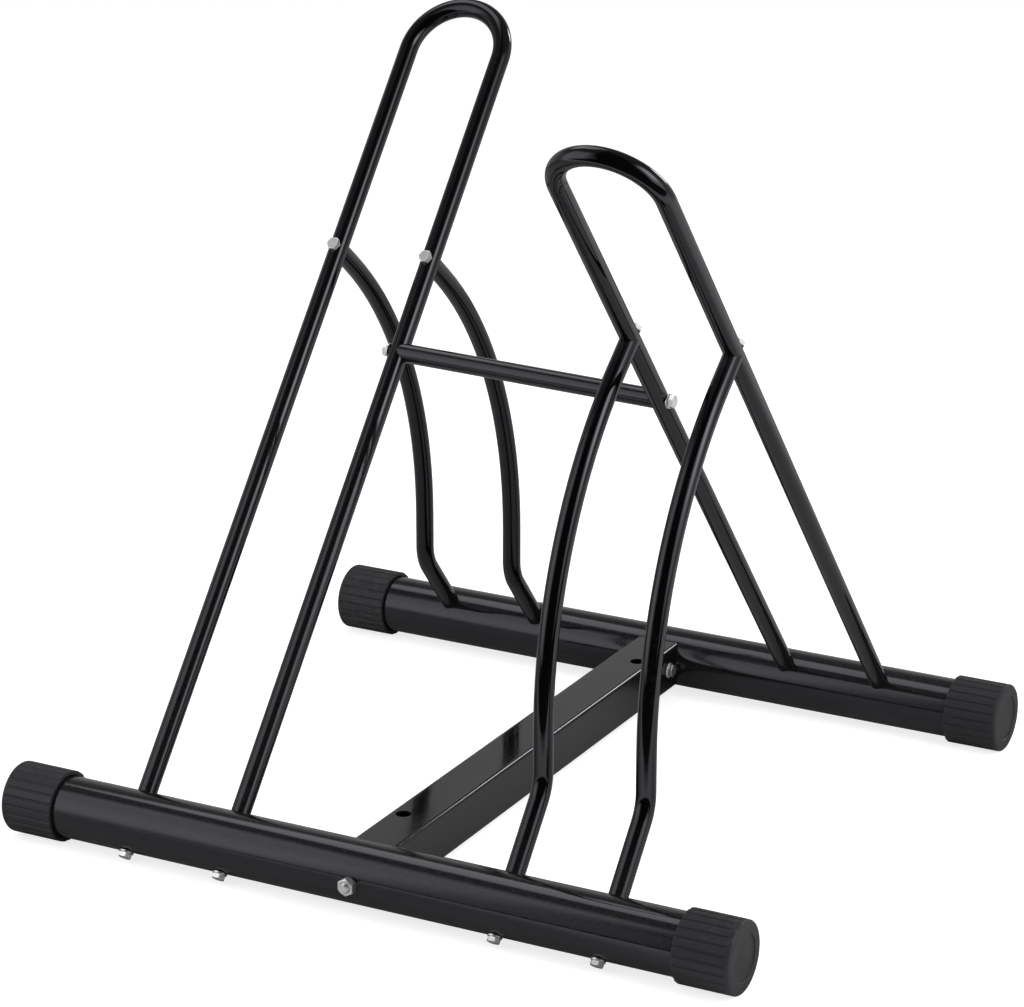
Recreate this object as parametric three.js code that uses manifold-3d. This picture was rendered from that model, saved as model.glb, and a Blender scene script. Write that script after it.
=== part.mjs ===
// A floor stand for two bicycles, bolted together from bent steel tube.
//
// Two base tubes lie across the front and the rear, joined by a square bar. On each stands one
// tall hoop that leans towards the other, and two bent guides that rise to the opposite hoop.
// A wheel rolls in between a pair of guides and the hoop beyond them.
//
// Millimetres. X runs along the base tubes, Y from the front to the rear and Z up, with the
// origin on the floor under the middle. Half of the stand is described; the other half is the
// same half turned by 180 degrees about Z.

import * as THREE from "three";
import { mergeVertices, toCreasedNormals } from "three/addons/utils/BufferGeometryUtils.js";
import Module from "manifold-3d";

const wasm = await Module();
wasm.setup();

// Frame tubes: the hoops, the guides and the tie bar.
const TUBE_RADIUS = 8;
const TUBE_WALL = 1.5;

// Base tubes, lying along X.
const BASE_RADIUS = 25.5;
const BASE_WALL = 2;
const BASE_LENGTH = 646;
const BASE_SPACING = 540; // between the axes of the two base tubes

// Ribbed caps pushed over the ends of the base tubes.
const CAP_WALL = 3.8;
const CAP_CLEARANCE = 0.2;
const CAP_SLEEVE = 43.5; // length that goes over the tube
const CAP_END = 4;
const CAP_ROUND = 2.5; // rounded outer rim
const CAP_COLLAR = 5; // plain band next to the rim
const CAP_LIP = 0.8; // bevel at the mouth
const CAP_FACE_RIM = 10; // raised rim round the end face
const CAP_FACE_DEPTH = 0.8;
const CAP_RIBS = 24;
const GROOVE_WIDTH = 2;
const GROOVE_DEPTH = 0.9;

// Hoops: two straight legs and a half-round top, in a plane that leans.
const LEAN = THREE.MathUtils.degToRad(39.7); // from the vertical
const HOOP_WIDTH = 89; // between the axes of the legs
const HOOP_LEG = 714; // from the base axis to where the top starts to bend
const SLOT_CENTRE = 169; // X of the middle of each wheel slot

// Guides: they leave the base like a hoop's leg, turn upright, then bend over to meet the
// opposite hoop's leg square.
const GUIDE_SETBACK = 62.5; // from the base axis to the upright, along Y
const GUIDE_FOOT_BEND = 35;
const GUIDE_JOINT = 520; // along the hoop's leg from its base axis

// Tie bar between the inner legs of the two hoops.
const TIE_JOINT = 436; // along the hoop's leg from its base axis

// Square bar between the base tubes.
const BAR_SIZE = 40;
const BAR_WALL = 2;
const BAR_CORNER = 3;
const BAR_HOLE_RADIUS = 6.3;
const BAR_HOLE_OFFSET = 75; // from the base axis
const BAR_HOLE_SIDE = 8; // from the bar's middle towards the cross bolt's head
const CROSS_SETBACK = 9.5; // from the base tube's surface to the cross bolt's axis

// Fasteners: hexagon bolts, eye bolts, nuts, flat washers and threaded inserts. Radii of hexagons
// are across their corners.
const BOLT = { radius: 3, headRadius: 5.75, head: 4 };
const NUT = { radius: 5.75, height: 5 };
const FLANGE = { radius: 7, thickness: 1.5 }; // under a cross bolt's head
const EYE_BOLT = { radius: 4, eyeRadius: 7.3, eyeThickness: 9 };
const EYE_NUT = { radius: 7.5, height: 6.5 };
const THREAD_PROUD = 3; // thread that shows beyond a nut
const WASHER = { radius: 6, thickness: 1.6 };
const INSERT_LENGTH = 18;
const INSERT_MARGIN = 2.8; // straight tube beyond an insert
const THREAD_ENGAGEMENT = 15;

// Clearances.
const COPE_GAP = 0.3; // between a shaped tube end and what it bears on
const SEAT_GAP = 0.1; // between flat faces that bear on each other
const HOLE_CLEARANCE = 0.3; // round a bolt in a plain hole
const THREAD_CLEARANCE = 0.15; // round a bolt in its thread
const INSERT_CLEARANCE = 0.1; // round an insert in its tube

// Fineness of the round surfaces.
const TUBE_SIDES = 14;
const BORE_SIDES = 10;
const BASE_SIDES = 48;
const BOLT_SIDES = 12;
const BAR_HOLE_SIDES = 20;
const EYE_SIDES = 24;
const HEX_SIDES = 6;
const CHORD_ERROR = 0.4; // of a bend
const CORNER_STEPS = 2;
const MERGE_DISTANCE = 1e-4;
const CREASE_ANGLE = Math.PI / 5;

// Sizes that follow from the ones above.
const CAP_RADIUS = BASE_RADIUS + CAP_CLEARANCE + CAP_WALL;
const BASE_HEIGHT = CAP_RADIUS; // the stand rests on its caps
const BASE_Y = BASE_SPACING / 2;
const CROSS_OFFSET = BASE_RADIUS + CROSS_SETBACK;
const BORE_RADIUS = TUBE_RADIUS - TUBE_WALL;
const INNER_LEG = SLOT_CENTRE - HOOP_WIDTH / 2;
const OUTER_LEG = SLOT_CENTRE + HOOP_WIDTH / 2;
const INSERT_RADIUS = BORE_RADIUS * Math.cos(Math.PI / BORE_SIDES) - INSERT_CLEARANCE;

const X_AXIS = new THREE.Vector3(1, 0, 0);
const Y_AXIS = new THREE.Vector3(0, 1, 0);
const Z_AXIS = new THREE.Vector3(0, 0, 1);
const UNIT = new THREE.Vector3(1, 1, 1);
const UP_THE_LEG = new THREE.Vector3(0, Math.sin(LEAN), Math.cos(LEAN));
const THROUGH_THE_LEG = new THREE.Vector3(0, Math.cos(LEAN), -Math.sin(LEAN));

const FINISHES = {
  enamel: { color: 0x0c0c0d, roughness: 0.2, metalness: 0 },
  plastic: { color: 0x1a1a1b, roughness: 0.62, metalness: 0 },
  zinc: { color: 0xc2c4c6, roughness: 0.35, metalness: 1 },
};

const point = (x, y, z) => new THREE.Vector3(x, y, z);

/** Point on the axis of a leg or foot of the front half, a distance up from the base axis. */
const onLeg = (x, distance) => point(x, -BASE_Y, BASE_HEIGHT).addScaledVector(UP_THE_LEG, distance);

/** The same point on the rear half's leg that stands at the same X. */
const onOppositeLeg = (x, distance) => {
  const { y, z } = onLeg(x, distance);
  return point(x, -y, z);
};

/** Radius of the corners of a polygon whose flat sides lie at the given radius. */
const acrossCorners = (radius, sides) => radius / Math.cos(Math.PI / sides);

/** Straights joined by arcs, as a curve whose points are its stations, each with its tangent. */
class BentLine extends THREE.Curve {
  constructor(corners, bends) {
    super();
    const leg = (i) => corners[i + 1].clone().sub(corners[i]).normalize();
    this.points = [corners[0].clone()];
    this.tangents = [leg(0)];
    bends.forEach((radius, i) => this.addBend(corners[i + 1], radius, leg(i), leg(i + 1)));
    this.addStation(corners[corners.length - 1], leg(corners.length - 2));
  }

  addBend(corner, radius, before, after) {
    const turn = before.angleTo(after);
    const axis = before.clone().cross(after).normalize();
    const start = corner.clone().addScaledVector(before, -radius * Math.tan(turn / 2));
    const outward = axis.clone().cross(before).negate();
    const centre = start.clone().addScaledVector(outward, -radius);
    const steps = Math.ceil(turn / (2 * Math.acos(1 - CHORD_ERROR / radius)));
    for (let i = 0; i <= steps; i++) {
      const angle = (turn * i) / steps;
      const spoke = outward.clone().applyAxisAngle(axis, angle);
      const place = centre.clone().addScaledVector(spoke, radius);
      this.addStation(place, before.clone().applyAxisAngle(axis, angle));
    }
  }

  addStation(place, tangent) {
    if (place.distanceTo(this.points[this.points.length - 1]) < MERGE_DISTANCE) return;
    this.points.push(place.clone());
    this.tangents.push(tangent);
  }

  get steps() {
    return this.points.length - 1;
  }

  between(list, t, target) {
    const at = t * this.steps;
    const i = Math.min(Math.floor(at), this.steps - 1);
    return target.lerpVectors(list[i], list[i + 1], at - i);
  }

  getPoint(t, target = new THREE.Vector3()) {
    return this.between(this.points, t, target);
  }

  getTangent(t, target = new THREE.Vector3()) {
    return this.between(this.tangents, t, target).normalize();
  }

  getUtoTmapping(u) {
    return u;
  }
}

/** Geometry as a closed solid that can be cut and joined. */
function solidOf(geometry) {
  const bare = geometry.clone();
  bare.deleteAttribute("normal");
  bare.deleteAttribute("uv");
  const merged = mergeVertices(bare, MERGE_DISTANCE);
  const vertProperties = merged.attributes.position.array;
  const triVerts = new Uint32Array(merged.index.array);
  return new wasm.Manifold(new wasm.Mesh({ numProp: 3, vertProperties, triVerts }));
}

/** The geometry of a closed solid. */
function geometryOf(solid) {
  const { vertProperties, triVerts } = solid.getMesh();
  const geometry = new THREE.BufferGeometry();
  geometry.setAttribute("position", new THREE.BufferAttribute(vertProperties, 3));
  geometry.setIndex(new THREE.BufferAttribute(triVerts, 1));
  return toCreasedNormals(geometry, CREASE_ANGLE);
}

const join = (...pieces) => geometryOf(pieces.map(solidOf).reduce((whole, piece) => whole.add(piece)));

const cut = (blank, tools) =>
  geometryOf(tools.map(solidOf).reduce((rest, tool) => rest.subtract(tool), solidOf(blank)));

/** A geometry that stands along Z, laid along a direction from an origin. */
function laid(geometry, origin, direction) {
  const turn = new THREE.Quaternion().setFromUnitVectors(Z_AXIS, direction);
  return geometry.clone().applyMatrix4(new THREE.Matrix4().compose(origin, turn, UNIT));
}

/** Round or many-sided bar along Z, its corners at the given radius. */
function rod(radius, from, to, sides) {
  const geometry = new THREE.CylinderGeometry(radius, radius, to - from, sides);
  return geometry.rotateX(Math.PI / 2).translate(0, 0, (from + to) / 2);
}

/** Bar along Z for cutting a hole, its flat sides at the given radius. */
const drill = (radius, from, to, sides) => rod(acrossCorners(radius, sides), from, to, sides);

/** Flat-ended ring along Z. */
function ring(inner, outer, from, to, sides) {
  const section = [
    [inner, from],
    [outer, from],
    [outer, to],
    [inner, to],
    [inner, from],
  ];
  const profile = section.map(([radius, along]) => new THREE.Vector2(radius, along));
  return new THREE.LatheGeometry(profile, sides).rotateX(Math.PI / 2);
}

/** Round bar along a bent line. */
function sweep(radius, sides, line) {
  const angles = Array.from({ length: sides }, (_, i) => (2 * Math.PI * i) / sides);
  const outline = angles.map((a) => new THREE.Vector2(radius * Math.cos(a), radius * Math.sin(a)));
  const options = { steps: line.steps, extrudePath: line, bevelEnabled: false };
  return new THREE.ExtrudeGeometry(new THREE.Shape(outline), options);
}

/** Frame tube along a bent line, open at both ends, less what the tools cut away. */
function frameTube(corners, bends, tools) {
  const longer = corners.map((corner) => corner.clone());
  const last = longer.length - 1;
  const beyond = (end, next) => end.add(end.clone().sub(next).setLength(TUBE_RADIUS));
  beyond(longer[0], longer[1]);
  beyond(longer[last], longer[last - 1]);
  const bore = sweep(BORE_RADIUS, BORE_SIDES, new BentLine(longer, bends));
  return cut(sweep(TUBE_RADIUS, TUBE_SIDES, new BentLine(corners, bends)), [bore, ...tools]);
}

/** What shapes the foot of a tube to bear on a base tube. */
function baseCope(y) {
  const half = OUTER_LEG + BASE_RADIUS;
  const tool = drill(BASE_RADIUS + COPE_GAP, -half, half, BASE_SIDES);
  return laid(tool, point(0, y, BASE_HEIGHT), X_AXIS);
}

/** What shapes the end of a tube to bear on a hoop's leg through the given point. */
function legCope(origin, direction) {
  const half = 3 * TUBE_RADIUS;
  return laid(drill(TUBE_RADIUS + COPE_GAP, -half, half, TUBE_SIDES), origin, direction);
}

/** Hole for a bolt right through a tube of the given radius. */
function boltHole(bolt, radius, origin, direction) {
  const half = radius + BASE_WALL;
  return laid(drill(bolt.radius + HOLE_CLEARANCE, -half, half, BOLT_SIDES), origin, direction);
}

// Where the pieces meet, in the front half.
const FEET = [-OUTER_LEG, -INNER_LEG, INNER_LEG, OUTER_LEG];
const TIE_LEFT = onLeg(-INNER_LEG, TIE_JOINT);
const TIE_RIGHT = onOppositeLeg(INNER_LEG, TIE_JOINT);
const ALONG_THE_TIE = TIE_RIGHT.clone().sub(TIE_LEFT).normalize();
const FRONT_AXIS = point(0, -BASE_Y, BASE_HEIGHT);
const CROSS_AXIS = point(0, CROSS_OFFSET - BASE_Y, BASE_HEIGHT);

/** Base tube along X, with the holes for four feet and the eye bolt. */
function baseTube() {
  const half = BASE_LENGTH / 2;
  const blank = ring(BASE_RADIUS - BASE_WALL, BASE_RADIUS, -half, half, BASE_SIDES);
  const holes = FEET.map((x) => boltHole(BOLT, BASE_RADIUS, onLeg(x, 0), UP_THE_LEG));
  holes.push(boltHole(EYE_BOLT, BASE_RADIUS, FRONT_AXIS, Y_AXIS));
  return cut(laid(blank, FRONT_AXIS, X_AXIS), holes);
}

/** Cap along X, its mouth at X = 0, resting on the flat land of its lowest rib. */
function endCap() {
  const outer = acrossCorners(CAP_RADIUS, CAP_RIBS);
  const bore = acrossCorners(BASE_RADIUS + CAP_CLEARANCE, CAP_RIBS);
  const length = CAP_SLEEVE + CAP_END;
  const rounding = CAP_ROUND * (1 - Math.SQRT1_2);
  const section = [
    [0, CAP_SLEEVE],
    [bore, CAP_SLEEVE],
    [bore, CAP_LIP],
    [bore + CAP_LIP, 0],
    [outer, 0],
    [outer, length - CAP_ROUND],
    [outer - rounding, length - rounding],
    [outer - CAP_ROUND, length],
    [outer - CAP_FACE_RIM, length],
    [outer - CAP_FACE_RIM - CAP_FACE_DEPTH, length - CAP_FACE_DEPTH],
    [0, length - CAP_FACE_DEPTH],
  ];
  const profile = section.map(([radius, along]) => new THREE.Vector2(radius, along));
  const blank = new THREE.LatheGeometry(profile, CAP_RIBS, Math.PI / CAP_RIBS);
  const groove = new THREE.Shape([
    new THREE.Vector2(0, CAP_RADIUS - GROOVE_DEPTH),
    new THREE.Vector2(GROOVE_WIDTH, CAP_RADIUS + GROOVE_DEPTH),
    new THREE.Vector2(-GROOVE_WIDTH, CAP_RADIUS + GROOVE_DEPTH),
  ]);
  const reach = length - CAP_COLLAR + CAP_LIP;
  const grooves = Array.from({ length: CAP_RIBS }, (_, i) => {
    const tool = new THREE.ExtrudeGeometry(groove, { depth: reach, bevelEnabled: false });
    const turn = (2 * Math.PI * (i + 1 / 2)) / CAP_RIBS;
    return tool.translate(0, 0, -CAP_LIP).rotateZ(turn).rotateY(Math.PI / 2);
  });
  return cut(blank.rotateZ(-Math.PI / 2), grooves);
}

/** Hoop about X = 0, with the holes for the two guides' bolts and the tie bar's. */
function hoop() {
  const half = HOOP_WIDTH / 2;
  const corners = [
    onLeg(-half, BASE_RADIUS - TUBE_RADIUS),
    onLeg(-half, HOOP_LEG + half),
    onLeg(half, HOOP_LEG + half),
    onLeg(half, BASE_RADIUS - TUBE_RADIUS),
  ];
  return frameTube(corners, [half, half], [
    baseCope(-BASE_Y),
    boltHole(BOLT, TUBE_RADIUS, onLeg(-half, GUIDE_JOINT), THROUGH_THE_LEG),
    boltHole(BOLT, TUBE_RADIUS, onLeg(half, GUIDE_JOINT), THROUGH_THE_LEG),
    boltHole(BOLT, TUBE_RADIUS, onLeg(half, TIE_JOINT), ALONG_THE_TIE),
  ]);
}

/**
 * Guide of the front base tube, in the plane X = 0. Its top bend takes all the length up to the
 * straight end that holds the insert.
 */
function guide() {
  const joint = onOppositeLeg(0, GUIDE_JOINT);
  const upright = GUIDE_SETBACK - BASE_Y;
  const top = point(0, upright, joint.z - (joint.y - upright) * Math.tan(LEAN));
  const corners = [
    onLeg(0, BASE_RADIUS - TUBE_RADIUS),
    onLeg(0, GUIDE_SETBACK / Math.sin(LEAN)),
    top,
    joint,
  ];
  const straight = TUBE_RADIUS + COPE_GAP + SEAT_GAP + INSERT_LENGTH + INSERT_MARGIN;
  const topBend = (top.distanceTo(joint) - straight) / Math.tan((Math.PI / 2 - LEAN) / 2);
  const oppositeLeg = point(0, -UP_THE_LEG.y, UP_THE_LEG.z);
  return frameTube(corners, [GUIDE_FOOT_BEND, topBend], [
    baseCope(-BASE_Y),
    legCope(joint, oppositeLeg),
  ]);
}

/** Tie bar from the left hoop's inner leg to the right hoop's. */
function tieBar() {
  const oppositeLeg = point(0, -UP_THE_LEG.y, UP_THE_LEG.z);
  return frameTube([TIE_LEFT, TIE_RIGHT], [], [
    legCope(TIE_LEFT, UP_THE_LEG),
    legCope(TIE_RIGHT, oppositeLeg),
  ]);
}

/** Square bar along Z with rounded corners. */
function squareBar(size, corner, from, to) {
  const outline = [];
  const inset = size / 2 - corner;
  for (let side = 0; side < 4; side++) {
    const middle = new THREE.Vector2(inset, inset).rotateAround(new THREE.Vector2(), (side * Math.PI) / 2);
    for (let step = 0; step <= CORNER_STEPS; step++) {
      const angle = ((side + step / CORNER_STEPS) * Math.PI) / 2;
      outline.push(new THREE.Vector2(Math.cos(angle), Math.sin(angle)).multiplyScalar(corner).add(middle));
    }
  }
  const options = { depth: to - from, bevelEnabled: false };
  return new THREE.ExtrudeGeometry(new THREE.Shape(outline), options).translate(0, 0, from);
}

/** Centre bar between the base tubes, open at both ends, with its top holes and cross holes. */
function centreBar() {
  const middle = point(0, 0, BASE_HEIGHT);
  const half = BAR_SIZE / 2;
  const long = BASE_Y + BAR_WALL;
  const inside = laid(squareBar(BAR_SIZE - 2 * BAR_WALL, BAR_CORNER - BAR_WALL, -long, long), middle, Y_AXIS);
  const top = drill(BAR_HOLE_RADIUS, half - 2 * BAR_WALL, half + BAR_WALL, BAR_HOLE_SIDES);
  const topHole = laid(top, point(-BAR_HOLE_SIDE, BAR_HOLE_OFFSET - BASE_Y, BASE_HEIGHT), Z_AXIS);
  const crossHole = boltHole(BOLT, half, CROSS_AXIS, X_AXIS);
  return cut(laid(squareBar(BAR_SIZE, BAR_CORNER, -BASE_Y, BASE_Y), middle, Y_AXIS), [
    inside,
    baseCope(BASE_Y),
    baseCope(-BASE_Y),
    topHole,
    topHole.clone().rotateZ(Math.PI),
    crossHole,
    crossHole.clone().rotateZ(Math.PI),
  ]);
}

/** Hexagon bolt along Z from the underside of its head to its tip. */
function boltShape({ radius, headRadius, head }, seat, tip) {
  return join(
    rod(headRadius, seat - head, seat, HEX_SIDES),
    rod(radius, seat - head / 2, tip, BOLT_SIDES),
  );
}

const washerShape = (bolt, { radius, thickness }, from) =>
  ring(acrossCorners(bolt.radius + HOLE_CLEARANCE, BOLT_SIDES), radius, from, from + thickness, BOLT_SIDES);

/**
 * Bolt through a tube into the insert of the tube beyond, along Z from the first tube's axis,
 * with a washer under its head if one is given. A skewed bolt isn't quite square to the tube it
 * goes through: the skew is the cosine of the angle between them.
 */
function jointShapes(radius, washer, skew = 0) {
  const clearOf = (reach) => (radius + reach * Math.abs(skew)) / Math.sqrt(1 - skew ** 2);
  const face = clearOf(washer ? washer.radius : BOLT.headRadius) + SEAT_GAP;
  const seat = washer ? -(face + washer.thickness + SEAT_GAP) : -face;
  const insert = clearOf(INSERT_RADIUS) + COPE_GAP + SEAT_GAP;
  const threadRadius = acrossCorners(BOLT.radius + THREAD_CLEARANCE, BOLT_SIDES);
  return {
    bolt: boltShape(BOLT, seat, insert + THREAD_ENGAGEMENT),
    washer: washer && washerShape(BOLT, washer, -(face + washer.thickness)),
    insert: ring(threadRadius, INSERT_RADIUS, insert, insert + INSERT_LENGTH, BOLT_SIDES),
  };
}

/** Nut along Z on a thread of the given radius. */
function nutShape(bolt, { radius, height }, from) {
  const thread = drill(bolt.radius + THREAD_CLEARANCE, from - height, from + 2 * height, BOLT_SIDES);
  return cut(rod(radius, from, from + height, HEX_SIDES), [thread]);
}

/**
 * Eye bolt and nut along Z from the base tube's axis. The eye lies in the bar, round the cross
 * bolt, and the thread goes out through the base tube.
 */
function centreShapes() {
  const { radius, eyeRadius, eyeThickness } = EYE_BOLT;
  const nut = BASE_RADIUS + SEAT_GAP;
  const across = (tool) => laid(tool, point(0, 0, -CROSS_OFFSET), X_AXIS);
  const eye = across(rod(eyeRadius, -eyeThickness / 2, eyeThickness / 2, EYE_SIDES));
  const shank = rod(radius, radius - CROSS_OFFSET, nut + EYE_NUT.height + THREAD_PROUD, BOLT_SIDES);
  const bore = across(drill(BOLT.radius + HOLE_CLEARANCE, -eyeThickness, eyeThickness, BOLT_SIDES));
  return {
    bolt: cut(join(eye, shank), [bore]),
    nut: nutShape(EYE_BOLT, EYE_NUT, nut),
  };
}

/** Flanged bolt and nut along Z through the bar and the eye, the head before the bar. */
function crossShapes() {
  const seat = BAR_SIZE / 2 + SEAT_GAP;
  const flange = rod(FLANGE.radius, -seat - FLANGE.thickness, -seat, EYE_SIDES);
  const tip = seat + NUT.height + THREAD_PROUD;
  return {
    bolt: join(boltShape(BOLT, -seat - FLANGE.thickness / 2, tip), flange),
    nut: nutShape(BOLT, NUT, seat),
  };
}

const SHAPES = {
  baseTube: baseTube(),
  endCap: endCap(),
  hoop: hoop(),
  guide: guide(),
  footJoint: jointShapes(BASE_RADIUS, WASHER),
  guideJoint: jointShapes(TUBE_RADIUS, null),
  tieJoint: jointShapes(TUBE_RADIUS, WASHER, ALONG_THE_TIE.dot(UP_THE_LEG)),
  centre: centreShapes(),
  cross: crossShapes(),
};

/** One named piece with a material of its own. */
function piece(name, geometry, finish) {
  const mesh = new THREE.Mesh(geometry, new THREE.MeshStandardMaterial(FINISHES[finish]));
  mesh.name = name;
  return mesh;
}

/** The pieces of one fastening, laid along a direction from an origin. */
function fastening(shapes, names, origin, direction) {
  const group = new THREE.Group();
  for (const [kind, geometry] of Object.entries(shapes))
    if (geometry) group.add(piece(names(kind), geometry, "zinc"));
  group.position.copy(origin);
  group.quaternion.setFromUnitVectors(Z_AXIS, direction);
  return group;
}

/** Half of the stand: a base tube with all that is fixed to it, and its hoop's fasteners. */
function halfStand(end, hoopSide, guideSide) {
  const half = new THREE.Group();
  const sideOf = (x) => (x < 0 ? hoopSide : guideSide);
  const rankOf = (x) => (Math.abs(x) < SLOT_CENTRE ? "inner" : "outer");

  half.add(piece(`base_tube_${end}`, SHAPES.baseTube, "enamel"));
  for (const way of [-1, 1]) {
    const cap = piece(`end_cap_${end}_${sideOf(way)}`, SHAPES.endCap, "plastic");
    cap.position.set(way * (BASE_LENGTH / 2 + SEAT_GAP - CAP_SLEEVE), -BASE_Y, BASE_HEIGHT);
    if (way < 0) cap.rotation.z = Math.PI;
    half.add(cap);
  }

  const hoopPiece = piece(`hoop_${hoopSide}`, SHAPES.hoop, "enamel");
  hoopPiece.position.x = -SLOT_CENTRE;
  half.add(hoopPiece);

  for (const x of FEET) {
    const place = `${sideOf(x)}_${rankOf(x)}`;
    const footName = (kind) => `foot_${kind}_${end}_${place}`;
    half.add(fastening(SHAPES.footJoint, footName, onLeg(x, 0), UP_THE_LEG));
    if (x > 0) {
      const guidePiece = piece(`guide_${end}_${place}`, SHAPES.guide, "enamel");
      guidePiece.position.x = x;
      half.add(guidePiece);
    } else {
      const jointName = (kind) => `guide_${kind}_${place}`;
      half.add(fastening(SHAPES.guideJoint, jointName, onLeg(x, GUIDE_JOINT), THROUGH_THE_LEG));
    }
  }

  half.add(fastening(SHAPES.tieJoint, (kind) => `tie_${kind}_${hoopSide}`, TIE_LEFT, ALONG_THE_TIE));
  const outward = Y_AXIS.clone().negate();
  half.add(fastening(SHAPES.centre, (kind) => `centre_${kind}_${end}`, FRONT_AXIS, outward));
  half.add(fastening(SHAPES.cross, (kind) => `cross_${kind}_${end}`, CROSS_AXIS, X_AXIS));
  return half;
}

const stand = new THREE.Group();
const frontHalf = halfStand("front", "left", "right");
const rearHalf = halfStand("rear", "right", "left");
rearHalf.rotation.z = Math.PI;
stand.add(frontHalf, rearHalf);
stand.add(piece("centre_bar", centreBar(), "enamel"));
stand.add(piece("tie_bar", tieBar(), "enamel"));

export default stand;
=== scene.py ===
"""Looks of a bolted floor stand for two bicycles: fine surfaces, finishes, studio and camera.

Everything is in metres, in the stand's own frame: X runs along the base tubes, Y from the front to
the rear and Z up, with the origin on the floor under the middle. The front half is worked out and
the rear half is the same half turned by 180 degrees about Z.
"""

import logging
import math
from collections.abc import Callable, Sequence
from dataclasses import dataclass, field
from enum import Enum
from functools import partial, reduce

import bpy
import numpy as np
from mathutils import Matrix, Vector


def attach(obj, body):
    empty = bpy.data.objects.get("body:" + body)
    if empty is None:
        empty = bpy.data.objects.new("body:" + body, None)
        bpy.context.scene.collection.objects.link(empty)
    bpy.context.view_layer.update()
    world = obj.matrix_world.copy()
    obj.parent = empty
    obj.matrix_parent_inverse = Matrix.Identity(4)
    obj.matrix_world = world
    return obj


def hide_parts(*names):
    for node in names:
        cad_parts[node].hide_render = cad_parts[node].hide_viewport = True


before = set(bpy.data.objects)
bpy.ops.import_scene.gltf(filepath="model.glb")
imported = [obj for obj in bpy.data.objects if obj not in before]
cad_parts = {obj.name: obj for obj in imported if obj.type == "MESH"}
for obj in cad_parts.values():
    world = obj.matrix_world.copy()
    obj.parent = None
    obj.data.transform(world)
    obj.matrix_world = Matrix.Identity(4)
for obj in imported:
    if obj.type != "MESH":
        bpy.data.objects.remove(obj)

LOG = logging.getLogger("bike_stand")
MM = 0.001
TAU = 2 * math.pi
UP = np.array([0.0, 0.0, 1.0])
ALONG_X = np.array([1.0, 0.0, 0.0])
ALONG_Y = np.array([0.0, 1.0, 0.0])
CREASE = 30.0


# ---------------------------------------------------------------------------------------------
# Sizes and places that the pieces share
# ---------------------------------------------------------------------------------------------


class End(Enum):
    """End of the stand, and whether a piece built at the front is turned round to reach it."""

    FRONT = "front"
    REAR = "rear"

    @property
    def turned(self) -> bool:
        """Whether this end is the front half turned about Z."""
        return self is End.REAR

    def side(self, x: float) -> str:
        """Name of the side on which a piece at X of the front half ends up."""
        return "left" if (x < 0) != self.turned else "right"


@dataclass(frozen=True)
class Stand:
    """Sizes of the stand that more than one piece uses, in metres and radians."""

    tube_radius: float = 8 * MM
    tube_wall: float = 1.5 * MM
    base_radius: float = 25.5 * MM
    base_wall: float = 2 * MM
    base_length: float = 646 * MM
    base_spacing: float = 540 * MM
    base_height: float = 29.5 * MM
    lean: float = math.radians(39.7)
    hoop_width: float = 89 * MM
    hoop_leg: float = 714 * MM
    slot_centre: float = 169 * MM
    guide_setback: float = 62.5 * MM
    guide_foot_bend: float = 35 * MM
    guide_joint: float = 520 * MM
    guide_end: float = 29.2 * MM
    tie_joint: float = 436 * MM
    bar_size: float = 40 * MM
    cross_offset: float = 35 * MM
    seat: float = 0.1 * MM

    @property
    def base_y(self) -> float:
        """Distance of each base tube's axis from the middle."""
        return self.base_spacing / 2

    @property
    def feet(self) -> tuple[float, float, float, float]:
        """X of the four feet on the front base tube."""
        inner, outer = (self.slot_centre + side * self.hoop_width / 2 for side in (-1, 1))
        return (-outer, -inner, inner, outer)

    @property
    def up_the_leg(self) -> np.ndarray:
        """Direction up a leg of the front half."""
        return np.array([0.0, math.sin(self.lean), math.cos(self.lean)])

    @property
    def through_the_leg(self) -> np.ndarray:
        """Direction square to a leg of the front half, down and to the rear."""
        return np.array([0.0, math.cos(self.lean), -math.sin(self.lean)])

    def on_leg(self, x: float, distance: float) -> np.ndarray:
        """Point on the axis of the front half's leg at X, that far up from the base tube's axis."""
        return np.array([x, -self.base_y, self.base_height]) + distance * self.up_the_leg

    @property
    def cross_axis(self) -> np.ndarray:
        """Where the front cross bolt's axis passes the middle of the bar."""
        return np.array([0.0, self.cross_offset - self.base_y, self.base_height])

    def on_opposite_leg(self, x: float, distance: float) -> np.ndarray:
        """Point on the axis of the rear half's leg at X, that far up from the base tube's axis."""
        return self.on_leg(x, distance) * np.array([1.0, -1.0, 1.0])

    @property
    def tie_ends(self) -> tuple[np.ndarray, np.ndarray]:
        """Where the tie bar's axis meets the axes of the two inner legs."""
        inner = self.feet[2]
        return self.on_leg(-inner, self.tie_joint), self.on_opposite_leg(inner, self.tie_joint)


STAND = Stand()


# ---------------------------------------------------------------------------------------------
# Surfaces
# ---------------------------------------------------------------------------------------------


class Close(Enum):
    """How the first and last rings of a loft are closed."""

    POLES = "poles"
    JOINED = "joined"


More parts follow.
